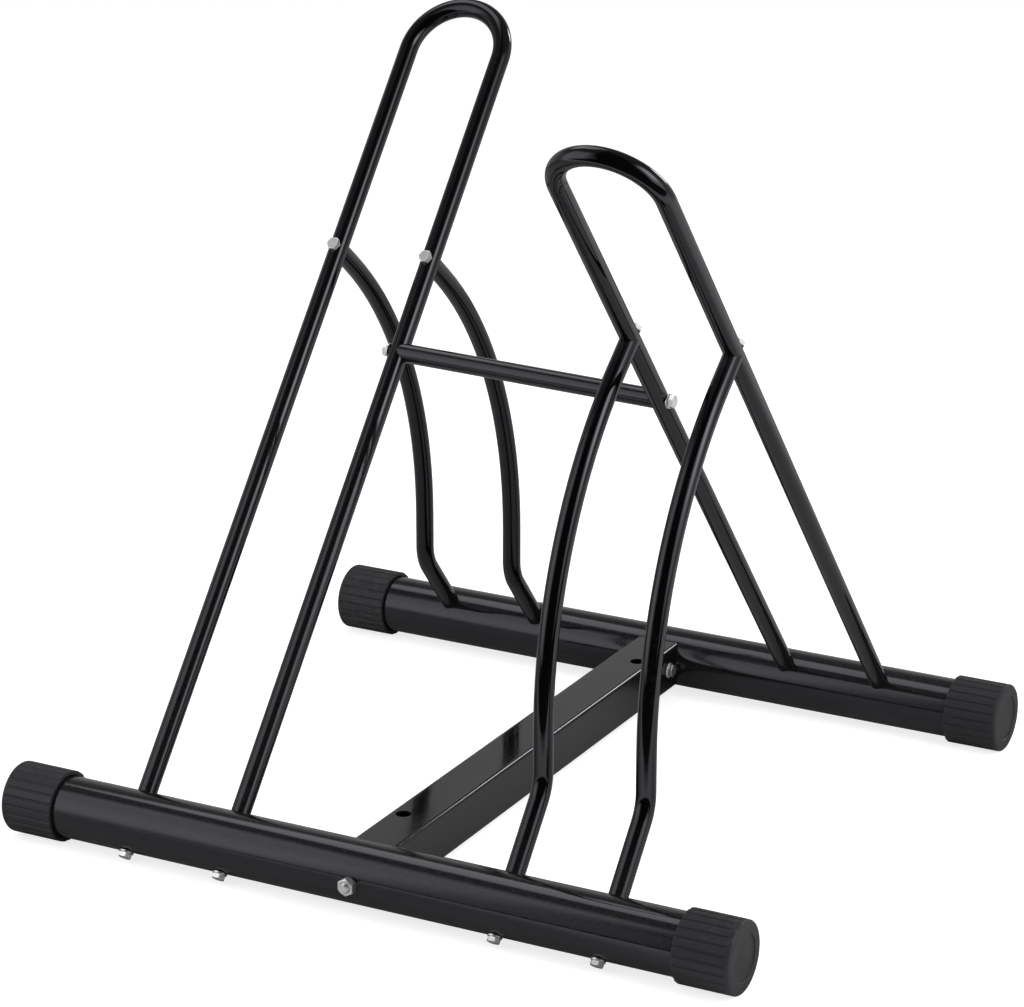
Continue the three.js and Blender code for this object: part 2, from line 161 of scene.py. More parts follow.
@dataclass
class Surface:
    """Closed surface of vertices, quads and triangles."""

    vertices: np.ndarray
    quads: np.ndarray
    triangles: np.ndarray = field(default_factory=lambda: np.empty((0, 3), int))

    def volume(self) -> float:
        """Volume inside the surface: a sixth of the sum of a . (b x c) over its triangles.

        Returns:
            The volume, below zero where the faces point inwards.
        """
        halves = [self.quads[:, [0, 1, 2]], self.quads[:, [0, 2, 3]], self.triangles]
        a, b, c = (self.vertices[np.concatenate(halves)[:, i]] for i in range(3))
        return float(np.einsum("ij,ij->", a, np.cross(b, c)) / 6)

    def facing(self, outwards: bool = True) -> "Surface":
        """The surface with its faces pointing one way.

        Args:
            outwards: Whether they point out of the volume.

        Returns:
            The surface, turned over if it has to be.
        """
        if (self.volume() > 0) == outwards:
            return self
        return Surface(self.vertices, self.quads[:, ::-1], self.triangles[:, ::-1])

    def placed(self, matrix: np.ndarray) -> "Surface":
        """The surface moved by a 4 x 4 matrix."""
        moved = self.vertices @ matrix[:3, :3].T + matrix[:3, 3]
        return Surface(moved, self.quads, self.triangles)

    def turned(self) -> "Surface":
        """The surface turned by 180 degrees about Z."""
        return Surface(self.vertices * np.array([-1.0, -1.0, 1.0]), self.quads, self.triangles)


def plate(x: float, y: float) -> Surface:
    """Flat rectangle that reaches X and Y to either side of the origin."""
    corners = np.array([[-x, -y, 0.0], [x, -y, 0.0], [x, y, 0.0], [-x, y, 0.0]])
    return Surface(corners, np.array([[0, 1, 2, 3]]))


def loft(rings: np.ndarray, close: Close) -> Surface:
    """Skin over rings of points, each ring closed on itself.

    Vertex (i, j) is point j of ring i, and quad (i, j) joins rings i and i + 1 between points j and
    j + 1. Closed by poles, a fan of triangles runs from each end ring to its mean point. Joined, the
    last ring meets the first.

    Args:
        rings: Points, with shape (rings, points, 3).
        close: How the ends are closed.

    Returns:
        The closed surface, facing outwards.
    """
    count, around = rings.shape[:2]
    rows = count if close is Close.JOINED else count - 1
    i, j = np.meshgrid(np.arange(rows), np.arange(around), indexing="ij")
    following, beside = (i + 1) % count, (j + 1) % around
    corners = [i * around + j, i * around + beside, following * around + beside, following * around + j]
    quads = np.stack(corners, axis=-1).reshape(-1, 4)
    vertices = rings.reshape(-1, 3)
    if close is Close.JOINED:
        return Surface(vertices, quads).facing()
    total = count * around
    j = np.arange(around)
    beside = (j + 1) % around
    last = total - around
    first_fan = np.stack([np.full(around, total), beside, j], axis=-1)
    last_fan = np.stack([np.full(around, total + 1), last + j, last + beside], axis=-1)
    poles = np.stack([rings[0].mean(axis=0), rings[-1].mean(axis=0)])
    return Surface(np.concatenate([vertices, poles]), quads, np.concatenate([first_fan, last_fan])).facing()


def turned_profile(profile: np.ndarray, around: int) -> np.ndarray:
    """Rings of a profile turned about Z: (r cos a, r sin a, z) for each (r, z) and angle a.

    Args:
        profile: Radii and heights, with shape (rings, 2).
        around: Points in each ring.

    Returns:
        The rings, with shape (rings, around, 3).
    """
    angle = np.arange(around) * TAU / around
    radius, height = profile[:, :1], profile[:, 1:]
    return np.stack([radius * np.cos(angle), radius * np.sin(angle), height + 0 * angle], axis=-1)


def fillet(centre: tuple[float, float], radius: float, start: float, end: float, steps: int) -> np.ndarray:
    """Arc of a profile: centre + radius (cos a, sin a), with a from start to end in degrees."""
    angle = np.radians(np.linspace(start, end, steps + 1))
    return np.stack([centre[0] + radius * np.cos(angle), centre[1] + radius * np.sin(angle)], axis=-1)


def frame_along(origin: np.ndarray, direction: np.ndarray, beside: np.ndarray) -> np.ndarray:
    """Matrix that lays a piece's Z along a direction.

    Args:
        origin: Where the piece's origin goes.
        direction: Where its Z points.
        beside: A direction that its X leans towards.

    Returns:
        The 4 x 4 matrix.
    """
    z = direction / np.linalg.norm(direction)
    x = beside - z * (beside @ z)
    x /= np.linalg.norm(x)
    matrix = np.eye(4)
    matrix[:3, 0], matrix[:3, 1], matrix[:3, 2], matrix[:3, 3] = x, np.cross(z, x), z, origin
    return matrix


@dataclass(frozen=True)
class Cope:
    """Round piece that the end of a tube is shaped to sit on."""

    origin: np.ndarray
    axis: np.ndarray
    radius: float

    def shape(self, ring: np.ndarray, way: np.ndarray) -> np.ndarray:
        """Moves a ring along the tube until it lies on the round piece.

        A point p + t w lies at the radius R from the axis where |q + t v| = R, with q and v the
        parts of p and w that are square to the axis. The larger root in t is taken, so the ring
        lies on the side that the direction points to.

        Args:
            ring: Points of the tube's end, with shape (points, 3).
            way: Direction along the tube, away from the round piece.

        Returns:
            The shaped ring.
        """
        q = ring - self.origin
        q = q - np.outer(q @ self.axis, self.axis)
        v = way - self.axis * (way @ self.axis)
        half, square = q @ v, v @ v
        root = np.sqrt(half**2 - square * ((q * q).sum(axis=1) - self.radius**2))
        return ring + np.outer((root - half) / square, way)


@dataclass(frozen=True)
class BentLine:
    """Straights in one plane joined by arcs."""

    corners: Sequence[np.ndarray]
    bends: Sequence[float]
    plane: np.ndarray
    step: float = math.radians(2.5)
    least_apart: float = 0.001 * MM
    around: int = 64

    def stations(self) -> tuple[np.ndarray, np.ndarray]:
        """Points on the line and the directions there.

        At a corner the arc of radius R leaves R tan(turn / 2) before it. Its point at an angle a is
        start + R (sin a u + (1 - cos a) n), with u the direction before and n the inward normal.

        Returns:
            Points and unit tangents, each with shape (stations, 3).
        """
        legs = [b - a for a, b in zip(self.corners, self.corners[1:])]
        ways = [leg / np.linalg.norm(leg) for leg in legs]
        points, tangents = [self.corners[0][None]], [ways[0][None]]
        for corner, radius, before, after in zip(self.corners[1:], self.bends, ways, ways[1:]):
            turn = math.acos(float(np.clip(before @ after, -1, 1)))
            inward = after - before * (before @ after)
            inward /= np.linalg.norm(inward)
            start = corner - before * radius * math.tan(turn / 2)
            angle = np.linspace(0, turn, math.ceil(turn / self.step) + 1)[:, None]
            points.append(start + radius * (np.sin(angle) * before + (1 - np.cos(angle)) * inward))
            tangents.append(np.cos(angle) * before + np.sin(angle) * inward)
        points.append(self.corners[-1][None])
        tangents.append(ways[-1][None])
        points, tangents = np.concatenate(points), np.concatenate(tangents)
        apart = np.linalg.norm(np.diff(points, axis=0), axis=1) > self.least_apart
        keep = np.concatenate([[True], apart])
        return points[keep], tangents[keep]

    def tube(self, start: Cope, end: Cope) -> Surface:
        """Frame tube along the line with shaped ends.

        A ring at the point p with the tangent t is p + r (cos a n + sin a (t x n)), with n the
        normal of the line's plane. The outer rings run up the line and the inner ones back.

        Args:
            start: What the first end sits on.
            end: What the last end sits on.

        Returns:
            The closed surface.
        """
        points, tangents = self.stations()
        angle = (np.arange(self.around) * TAU / self.around)[None, :, None]
        normal = np.broadcast_to(self.plane, tangents.shape)
        across = np.cross(tangents, normal)
        spokes = np.cos(angle) * normal[:, None] + np.sin(angle) * across[:, None]
        skins = []
        for r in (STAND.tube_radius, STAND.tube_radius - STAND.tube_wall):
            rings = points[:, None] + r * spokes
            rings[0] = start.shape(rings[0], tangents[0])
            rings[-1] = end.shape(rings[-1], -tangents[-1])
            skins.append(rings)
        return loft(np.concatenate([skins[0], skins[1][::-1]]), Close.JOINED)


# ---------------------------------------------------------------------------------------------
# Finishes
# ---------------------------------------------------------------------------------------------


Feeds = dict[int | str, object]
Colour = tuple[float, float, float, float]


def grey(level: float) -> Colour:
    """Grey of a linear level."""
    return (level, level, level, 1.0)


class Wiring:
    """Short hand for placing and joining the nodes of one tree."""

    def __init__(self, tree: bpy.types.NodeTree) -> None:
        """Keeps the tree."""
        self.tree = tree

    def feed(self, socket: bpy.types.NodeSocket, value: object) -> None:
        """Links an input to a socket, or sets its value.

        Args:
            socket: The input.
            value: The socket that it is linked to, or its value.
        """
        if isinstance(value, bpy.types.NodeSocket):
            self.tree.links.new(value, socket)
        else:
            socket.default_value = value

    def place(self, kind: str, feeds: Feeds | None = None, **settings: object) -> bpy.types.Node:
        """Adds a node.

        Args:
            kind: Its type, without the ShaderNode in front.
            feeds: Sockets or values for its inputs, by their names or numbers.
            **settings: Attributes that are set on it first.

        Returns:
            The node.
        """
        node = self.tree.nodes.new("ShaderNode" + kind)
        for name, value in settings.items():
            setattr(node, name, value)
        for key, value in (feeds or {}).items():
            self.feed(node.inputs[key], value)
        return node

    def math(self, operation: str, *values: object) -> bpy.types.NodeSocket:
        """Result of a math node on up to three values or sockets."""
        return self.place("Math", dict(enumerate(values)), operation=operation).outputs[0]

    def spread(self, value: object, *limits: object, smooth: bool = False) -> bpy.types.NodeSocket:
        """Value carried from one range to another and held inside it.

        Args:
            value: The value.
            *limits: Low and high end of the first range, and what they become.
            smooth: Whether it is eased at both ends.

        Returns:
            The socket of the result.
        """
        names = ("Value", "From Min", "From Max", "To Min", "To Max")
        kind = "SMOOTHSTEP" if smooth else "LINEAR"
        node = self.place("MapRange", dict(zip(names, (value, *limits))), interpolation_type=kind)
        return node.outputs["Result"]

    def blend(self, factor: object, first: object, second: object) -> bpy.types.NodeSocket:
        """Colour between two colours, which are inputs 6 and 7 and output 2 of a Mix node."""
        return self.place("Mix", {0: factor, 6: first, 7: second}, data_type="RGBA").outputs[2]

    def noise(
        self, vector: object, scale: object, detail: float, roughness: float = 0.5
    ) -> bpy.types.NodeSocket:
        """Noise from 0 to 1 at a scale in waves per metre."""
        feeds = {"Vector": vector, "Scale": scale, "Detail": detail, "Roughness": roughness}
        return self.place("TexNoise", feeds).outputs["Fac"]

    def split(self, vector: bpy.types.NodeSocket) -> bpy.types.bpy_prop_collection:
        """Sockets X, Y and Z of a vector."""
        return self.place("SeparateXYZ", {0: vector}).outputs

    def show(self, shader: bpy.types.Node, glow: bpy.types.Node | None = None) -> None:
        """Shows a shader as the material's surface.

        Args:
            shader: Its node.
            glow: Node of a glow that is added to it.
        """
        if glow:
            shader = self.place("AddShader", {0: shader.outputs[0], 1: glow.outputs[0]})
        self.place("OutputMaterial", {"Surface": shader.outputs[0]})


Sockets = dict[str, bpy.types.NodeSocket]
Builder = Callable[[Wiring, Sockets], bpy.types.NodeSocket]


def effect(name: str, output: str, takes: dict[str, float], build: Builder) -> bpy.types.ShaderNodeTree:
    """Shader node group with named sockets, built once and used by several finishes.

    Args:
        name: Name of the group.
        output: Name of its output, a value.
        takes: First value of each input besides the vector, by name.
        build: Places the nodes and returns the socket that feeds the output.

    Returns:
        The group.
    """
    tree = bpy.data.node_groups.new(name, "ShaderNodeTree")
    tree.interface.new_socket("Vector", in_out="INPUT", socket_type="NodeSocketVector")
    for socket_name, value in takes.items():
        socket = tree.interface.new_socket(socket_name, in_out="INPUT", socket_type="NodeSocketFloat")
        socket.default_value = value
    tree.interface.new_socket(output, in_out="OUTPUT", socket_type="NodeSocketFloat")
    start, end = tree.nodes.new("NodeGroupInput"), tree.nodes.new("NodeGroupOutput")
    given = {socket.name: socket for socket in start.outputs if socket.name}
    wiring = Wiring(tree)
    wiring.feed(end.inputs[0], build(wiring, given))
    return tree


def build_ripple(w: Wiring, given: Sockets) -> bpy.types.NodeSocket:
    """Ripple of a coat: long waves times 1 - share, plus short waves times the share.

    Args:
        w: Wiring of the group.
        given: Its inputs.

    Returns:
        The height, from 0 to 1.
    """
    long_waves = w.noise(given["Vector"], given["Long Scale"], detail=1.0)
    short_waves = w.noise(given["Vector"], given["Short Scale"], detail=2.0)
    share = given["Short Share"]
    long_part = w.math("MULTIPLY", long_waves, w.math("SUBTRACT", 1.0, share))
    return w.math("ADD", long_part, w.math("MULTIPLY", short_waves, share))


def build_specks(w: Wiring, given: Sockets) -> bpy.types.NodeSocket:
    """Small round specks, left out where a noise eight times as slow is below the rarity.

    Args:
        w: Wiring of the group.
        given: Its inputs.

    Returns:
        The mask, from 0 to 1.
    """
    cells = w.place("TexVoronoi", {"Vector": given["Vector"], "Scale": given["Scale"]})
    near = w.spread(cells.outputs["Distance"], given["Size"], 0.0, 0.0, 1.0)
    patches = w.noise(given["Vector"], w.math("MULTIPLY", given["Scale"], 0.13), detail=3.0)
    return w.math("MULTIPLY", near, w.spread(patches, given["Rarity"], 0.8, 0.0, 1.0))


def build_edge_rub(w: Wiring, given: Sockets) -> bpy.types.NodeSocket:
    """Rubbing on outward edges, from how pointed the surface is, broken up by noise.

    Args:
        w: Wiring of the group.
        given: Its inputs.

    Returns:
        The mask, from 0 to 1.
    """
    pointed = w.place("NewGeometry").outputs["Pointiness"]
    edge = w.spread(pointed, given["Start"], given["Full"], 0.0, 1.0)
    grit = w.noise(given["Vector"], given["Scale"], detail=4.0, roughness=0.65)
    return w.math("MULTIPLY", edge, w.spread(grit, 0.35, 0.7, 0.15, 1.0))


def build_scuffs(w: Wiring, given: Sockets) -> bpy.types.NodeSocket:
    """Faint handling marks: thin ridges where a stretched noise is near a half, in patches.

    Args:
        w: Wiring of the group.
        given: Its inputs.

    Returns:
        The mask, from 0 to 1.
    """
    turn = {"Vector": given["Vector"], "Scale": (1.0, 0.22, 1.6), "Rotation": (0.5, 0.3, 0.9)}
    stretched = w.place("Mapping", turn).outputs["Vector"]
    streak = w.noise(stretched, given["Scale"], detail=5.0, roughness=0.7)
    ridge = w.math("ABSOLUTE", w.math("SUBTRACT", streak, 0.5))
    thin = w.spread(ridge, 0.0, given["Width"], 1.0, 0.0)
    patches = w.noise(given["Vector"], w.math("MULTIPLY", given["Scale"], 0.16), detail=2.0)
    return w.math("MULTIPLY", thin, w.spread(patches, 0.52, 0.68, 0.0, 1.0))


class Effects:
    """The node groups that the finishes share."""

    def __init__(self) -> None:
        """Builds the groups."""
        waves = {"Long Scale": 150.0, "Short Scale": 900.0, "Short Share": 0.3}
        dust = {"Scale": 400.0, "Size": 0.12, "Rarity": 0.55}
        edges = {"Start": 0.52, "Full": 0.6, "Scale": 700.0}
        self.ripple = effect("coat_ripple", "Height", waves, build_ripple)
        self.specks = effect("dust_specks", "Mask", dust, build_specks)
        self.edge_rub = effect("edge_rub", "Mask", edges, build_edge_rub)
        self.scuffs = effect("handling_scuffs", "Mask", {"Scale": 60.0, "Width": 0.012}, build_scuffs)


def new_material(name: str) -> tuple[bpy.types.Material, Wiring]:
    """Makes an empty material.

    Args:
        name: Its name.

    Returns:
        The material and its wiring.
    """
    material = bpy.data.materials.new(name)
    material.use_nodes = True
    material.node_tree.nodes.clear()
    return material, Wiring(material.node_tree)


class Finish:
    """Surface finish of one kind of piece, made into a material once."""

    name = "finish"
    black_tint: Colour = (0.95, 0.9, 1.0, 1.0)

    def __init__(self, effects: Effects) -> None:
        """Makes the material.

        Args:
            effects: The shared node groups.
        """
        self.material, self.wiring = new_material(self.name)
        self.effects = effects
        self.shader = self.wiring.place("BsdfPrincipled")
        self.wiring.show(self.shader)
        self.where = self.wiring.place("TexCoord").outputs["Object"]
        self.dress()

    def dress(self) -> None:
        """Wires the finish into the shader."""
        raise NotImplementedError

    def use(self, group: bpy.types.ShaderNodeTree, **values: float) -> bpy.types.NodeSocket:
        """Places a shared effect with its own values, underscores standing for spaces."""
        feeds = {name.replace("_", " ").title(): value for name, value in values.items()}
        return self.wiring.place("Group", {"Vector": self.where} | feeds, node_tree=group).outputs[0]

    def strongest(self, *marks: tuple[bpy.types.NodeSocket, float]) -> bpy.types.NodeSocket:
        """The largest of some masks, each times its own strength."""
        parts = [self.wiring.math("MULTIPLY", mask, strength) for mask, strength in marks]
        return reduce(partial(self.wiring.math, "MAXIMUM"), parts)

    def raise_by(self, height: bpy.types.NodeSocket, depth: float) -> bpy.types.NodeSocket:
        """Normal of a height map whose full range is the given depth in metres."""
        feeds = {"Distance": depth, "Strength": 1.0, "Height": height}
        return self.wiring.place("Bump", feeds).outputs["Normal"]

    def set(self, **values: object) -> None:
        """Feeds sockets of the shader, underscores standing for spaces."""
        for name, value in values.items():
            self.wiring.feed(self.shader.inputs[name.replace("_", " ")], value)


class GlossEnamel(Finish):
    """Deep black stoved enamel with a slight orange peel, a little dust and faint scuffs."""

    name = "gloss_black_enamel"
    deep: Colour = (0.0012, 0.0012, 0.0015, 1.0)
    worn: Colour = (0.04, 0.04, 0.042, 1.0)
    gloss = (0.03, 0.055)
    mark_roughness = 0.3
    peel = 0.022 * MM

    def dress(self) -> None:
        """Wires the enamel."""
        w = self.wiring
        dust = self.use(self.effects.specks, scale=330.0, size=0.11, rarity=0.6)
        scuffs = self.use(self.effects.scuffs, scale=55.0, width=0.01)
        rub = self.use(self.effects.edge_rub, start=0.53, full=0.62, scale=500.0)
        ripple = self.use(self.effects.ripple, long_scale=110.0, short_scale=420.0, short_share=0.12)
        haze = w.noise(self.where, 14.0, detail=3.0)
        marks = self.strongest((dust, 0.5), (scuffs, 0.3), (rub, 0.35))
        marked = w.math("MULTIPLY", marks, self.mark_roughness)
        self.set(
            Base_Color=w.blend(marks, self.deep, self.worn),
            Roughness=w.math("ADD", w.spread(haze, 0.3, 0.7, *self.gloss), marked),
            Normal=self.raise_by(ripple, self.peel),
            Specular_Tint=self.black_tint,
        )


class RibbedPlastic(Finish):
    """Matt black moulded plastic with a fine spark-eroded grain and rubbed high spots."""

    name = "matt_black_plastic"
    dark: Colour = (0.009, 0.0088, 0.0094, 1.0)
    light: Colour = (0.014, 0.0137, 0.0145, 1.0)
    worn = grey(0.1)
    gloss = (0.5, 0.6)
    mark_roughness = 0.2
    grain = 0.09 * MM

    def dress(self) -> None:
        """Wires the plastic."""
        w = self.wiring
        rub = self.use(self.effects.edge_rub, start=0.51, full=0.56, scale=420.0)
        scuffs = self.use(self.effects.scuffs, scale=90.0, width=0.02)
        dust = self.use(self.effects.specks, scale=520.0, size=0.16, rarity=0.5)
        ripple = self.use(self.effects.ripple, long_scale=1500.0, short_scale=3600.0, short_share=0.5)
        cloud = w.noise(self.where, 26.0, detail=3.0)
        marks = self.strongest((rub, 0.3), (scuffs, 0.35), (dust, 0.3))
        marked = w.math("MULTIPLY", marks, self.mark_roughness)
        self.set(
            Base_Color=w.blend(marks, w.blend(cloud, self.dark, self.light), self.worn),
            Roughness=w.math("ADD", w.spread(cloud, 0.3, 0.7, *self.gloss), marked),
            Normal=self.raise_by(ripple, self.grain),
            Specular_Tint=self.black_tint,
        )


class BrightZinc(Finish):
    """Bright zinc plate on steel: mottled gloss, a cool tint and painted shade darkening the hollows."""

    name = "bright_zinc_plate"
    cool: Colour = (0.78, 0.8, 0.84, 1.0)
    warm: Colour = (0.88, 0.87, 0.84, 1.0)
    bare: Colour = (0.95, 0.95, 0.96, 1.0)
    painted_shade: Colour = (0.16, 0.155, 0.15, 1.0)
    gloss = (0.3, 0.48)
    waviness = 0.03 * MM

    def dress(self) -> None:
        """Wires the zinc."""
        w = self.wiring
        mottle = w.noise(self.where, 420.0, detail=4.0, roughness=0.6)
        tint = w.noise(self.where, 160.0, detail=2.0)
        rub = self.use(self.effects.edge_rub, start=0.52, full=0.62, scale=900.0)
        ripple = self.use(self.effects.ripple, long_scale=500.0, short_scale=1900.0, short_share=0.4)
        plated = w.blend(w.math("MULTIPLY", rub, 0.6), w.blend(tint, self.cool, self.warm), self.bare)
        # Painted shade: where pointiness is low, in hollows and corners, the plating is blended up to 0.7
        # towards a dark grey.
        shade_in_hollows = w.spread(w.place("NewGeometry").outputs["Pointiness"], 0.46, 0.49, 0.7, 0.0)
        self.set(
            Metallic=1.0,
            Base_Color=w.blend(shade_in_hollows, plated, self.painted_shade),
            Roughness=w.spread(mottle, 0.3, 0.7, *self.gloss),
            Normal=self.raise_by(ripple, self.waviness),
        )


class Slot(Enum):
    """Material slots of the record."""

    ENAMEL = "black_enamel"
    PLASTIC = "cap_plastic"
    ZINC = "zinc_steel"


def make_finishes() -> dict[Slot, Finish]:
    """Makes the three finishes from one set of effects.

    Returns:
        The finish of each slot.
    """
    effects = Effects()
    kinds = {Slot.ENAMEL: GlossEnamel, Slot.PLASTIC: RibbedPlastic, Slot.ZINC: BrightZinc}
    return {slot: kind(effects) for slot, kind in kinds.items()}


# ---------------------------------------------------------------------------------------------
# Pieces
# ---------------------------------------------------------------------------------------------


def mesh_object(name: str, surface: Surface, crease: float = CREASE) -> bpy.types.Object:
    """Object of a surface, smooth apart from its creases.

    Args:
        name: Name of the object and its mesh.
        surface: What it shows.
        crease: Angle in degrees past which an edge is sharp.

    Returns:
        The object, linked to the scene, at the origin.
    """
    mesh = bpy.data.meshes.new(name)
    faces = surface.quads.tolist() + surface.triangles.tolist()
    mesh.from_pydata(surface.vertices.tolist(), [], faces)
    mesh.polygons.foreach_set("use_smooth", np.ones(len(faces), bool))
    mesh.set_sharp_from_angle(angle=math.radians(crease))
    mesh.update()
    piece = bpy.data.objects.new(name, mesh)
    bpy.context.scene.collection.objects.link(piece)
    return piece


def combine(piece: bpy.types.Object, surface: Surface, operation: str) -> None:
    """Joins a surface to a piece or cuts it away, exactly.

    Args:
        piece: What is changed.
        surface: The other closed surface.
        operation: "UNION" or "DIFFERENCE".
    """
    other = mesh_object("other_surface", surface)
    step = piece.modifiers.new("combine", "BOOLEAN")
    step.operation, step.solver, step.object = operation, "EXACT", other
    with bpy.context.temp_override(object=piece, active_object=piece):
        bpy.ops.object.modifier_apply(modifier=step.name)
    bpy.data.objects.remove(other)
    piece.data.set_sharp_from_angle(angle=math.radians(CREASE))


@dataclass
class Assembly:
    """Pieces of one kind, and the finishes to choose from."""

    finishes: dict[Slot, Finish]

    def add(self, node: str, surface: Surface, slot: Slot, crease: float = CREASE) -> bpy.types.Object:
        """Adds a fine piece that stands for a solid of the frame.

        Args:
            node: Name of the solid.
            surface: The fine surface, in place.
            slot: Material slot of the record.
            crease: Angle in degrees past which an edge is sharp.

        Returns:
            The piece.
        """
        piece = mesh_object("fine_" + node, surface, crease)
        piece.data.materials.append(self.finishes[slot].material)
        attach(piece, "root")
        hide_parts(node)
        LOG.info("%s: %d faces", piece.name, len(piece.data.polygons))
        return piece


def at(end: End, surface: Surface) -> Surface:
    """A surface of the front half, carried to the end that it is for."""
    return surface.turned() if end.turned else surface


def rank(x: float) -> str:
    """Whether a foot is the inner or the outer one of its pair."""
    return "inner" if abs(x) < STAND.slot_centre else "outer"


@dataclass
class BaseTubes(Assembly):
    """The two round tubes on which everything stands."""

    around: int = 192

    def surface(self) -> Surface:
        """Straight tube with square ends: an outer and an inner ring at each end.

        Returns:
            The front tube's surface.
        """
        half, outer = STAND.base_length / 2, STAND.base_radius
        inner = outer - STAND.base_wall
        profile = np.array([[outer, -half], [outer, half], [inner, half], [inner, -half]])
        matrix = frame_along(STAND.on_leg(0.0, 0.0), ALONG_X, UP)
        return loft(turned_profile(profile, self.around), Close.JOINED).placed(matrix)

    def build(self) -> None:
        """Adds both tubes."""
        surface = self.surface()
        for end in End:
            self.add(f"base_tube_{end.value}", at(end, surface), Slot.ENAMEL)


@dataclass
class EndCaps(Assembly):
    """Ribbed caps over the ends of the base tubes."""

    radius: float = 29.5 * MM
    bore: float = 25.7 * MM
    sleeve: float = 43.5 * MM
    length: float = 47.5 * MM
    rounding: float = 2.5 * MM
    ribs: int = 24
    groove_width: float = 2.2 * MM
    groove_depth: float = 0.9 * MM
    collar: float = 3.4 * MM
    run_out: float = 2.4 * MM
    lip: float = 0.8 * MM
    lip_belly: tuple[float, float] = (0.56 * MM, 0.15 * MM)
    face_rim: float = 10 * MM
    face_depth: float = 0.8 * MM
    soft: float = 0.35 * MM
    middle: float = 2 * MM
    flank: tuple[float, float] = (0.35, 1.2)
    crease: float = 40.0

    def profile(self) -> np.ndarray:
        """Profile of a cap, from the middle of the bore's floor round the outside to the end face.

        Returns:
            Radii and distances from the mouth, with shape (rings, 2).
        """
        r, length, rounding = self.radius, self.length, self.rounding
        step_out = r - self.face_rim
        groove_end = length - self.collar
        along = np.concatenate([
            np.linspace(self.lip, groove_end - self.run_out, 5),
            np.linspace(groove_end - self.run_out, groove_end, 11)[1:],
        ])
        outside = np.stack([np.full_like(along, r), along], axis=-1)
        bore, soft, face, belly = self.bore, self.soft, length - self.face_depth, self.lip_belly
        return np.concatenate([
            [[self.middle, self.sleeve], [bore - soft, self.sleeve], [bore, self.sleeve - soft]],
            [[bore, self.lip], [bore + belly[0], belly[1]], [bore + self.lip, 0.0]],
            fillet((r - soft, soft), soft, -90.0, -10.0, 3),
            outside,
            fillet((r - rounding, length - rounding), rounding, 0.0, 90.0, 10),
            fillet((step_out + soft, length - soft), soft, 90.0, 170.0, 4),
            fillet((step_out - soft, face + soft), soft, 0.0, -90.0, 4),
            [[step_out / 2, face], [self.middle, face]],
        ])

    def angles(self) -> np.ndarray:
        """Angles round the cap, close together on the flanks of each groove. A rib is lowest.

        Returns:
            The angles from straight up.
        """
        pitch = TAU * self.radius / self.ribs
        near = np.array([0.0, 0.3, 0.55, 0.75, 0.9, 1.05, 1.2, 1.4]) * self.groove_width / 2
        land = np.linspace(near[-1], pitch / 2, 5)[1:]
        one_side = np.concatenate([near, land])
        offsets = np.concatenate([-one_side[:0:-1], one_side[:-1]]) / self.radius
        centres = (np.arange(self.ribs) + 0.5) * TAU / self.ribs
        return (centres[:, None] + offsets).ravel()

    def surface(self) -> Surface:
        """Turned profile with grooves in its outside.

        The radius at an angle a and a distance z is r(z) - depth g(a) f(z): g falls from 1 in the
        middle of a groove to 0 at its shoulders as a smooth step, and f falls from 1 to 0 over the
        run-out as a quarter of a circle, like the end of a round cutter's path.

        Returns:
            A cap with its mouth at the origin and its end face towards X.
        """
        profile, angle = self.profile(), self.angles()
        radius, along = profile[:, 0], profile[:, 1]
        pitch = TAU / self.ribs
        offset = np.abs((angle / pitch) % 1.0 - 0.5) * pitch * self.radius
        inner, outer = self.flank
        edge = np.clip((offset / (self.groove_width / 2) - inner) / (outer - inner), 0, 1)
        groove = 1 - edge**2 * (3 - 2 * edge)
        left = np.clip((self.length - self.collar - along) / self.run_out, 0, 1)
        outside = (radius > self.bore + self.lip) & (along < self.length - self.collar)
        cut = np.where(outside, self.groove_depth * np.sqrt(1 - (1 - left) ** 2), 0.0)
        grooved = radius[:, None] - cut[:, None] * groove
        across, up = grooved * np.sin(angle), grooved * np.cos(angle)
        return loft(np.stack([along[:, None] + 0 * angle, across, up], axis=-1), Close.POLES)

    def build(self) -> None:
        """Adds the four caps."""
        surface = self.surface()
        mouth = STAND.base_length / 2 + STAND.seat - self.sleeve
        for end in End:
            for way in (-1, 1):
                matrix = np.diag([way, way, 1.0, 1.0])
                matrix[:3, 3] = [way * mouth, -STAND.base_y, STAND.base_height]
                placed = surface.placed(matrix)
                self.add(f"end_cap_{end.value}_{end.side(way)}", at(end, placed), Slot.PLASTIC, self.crease)


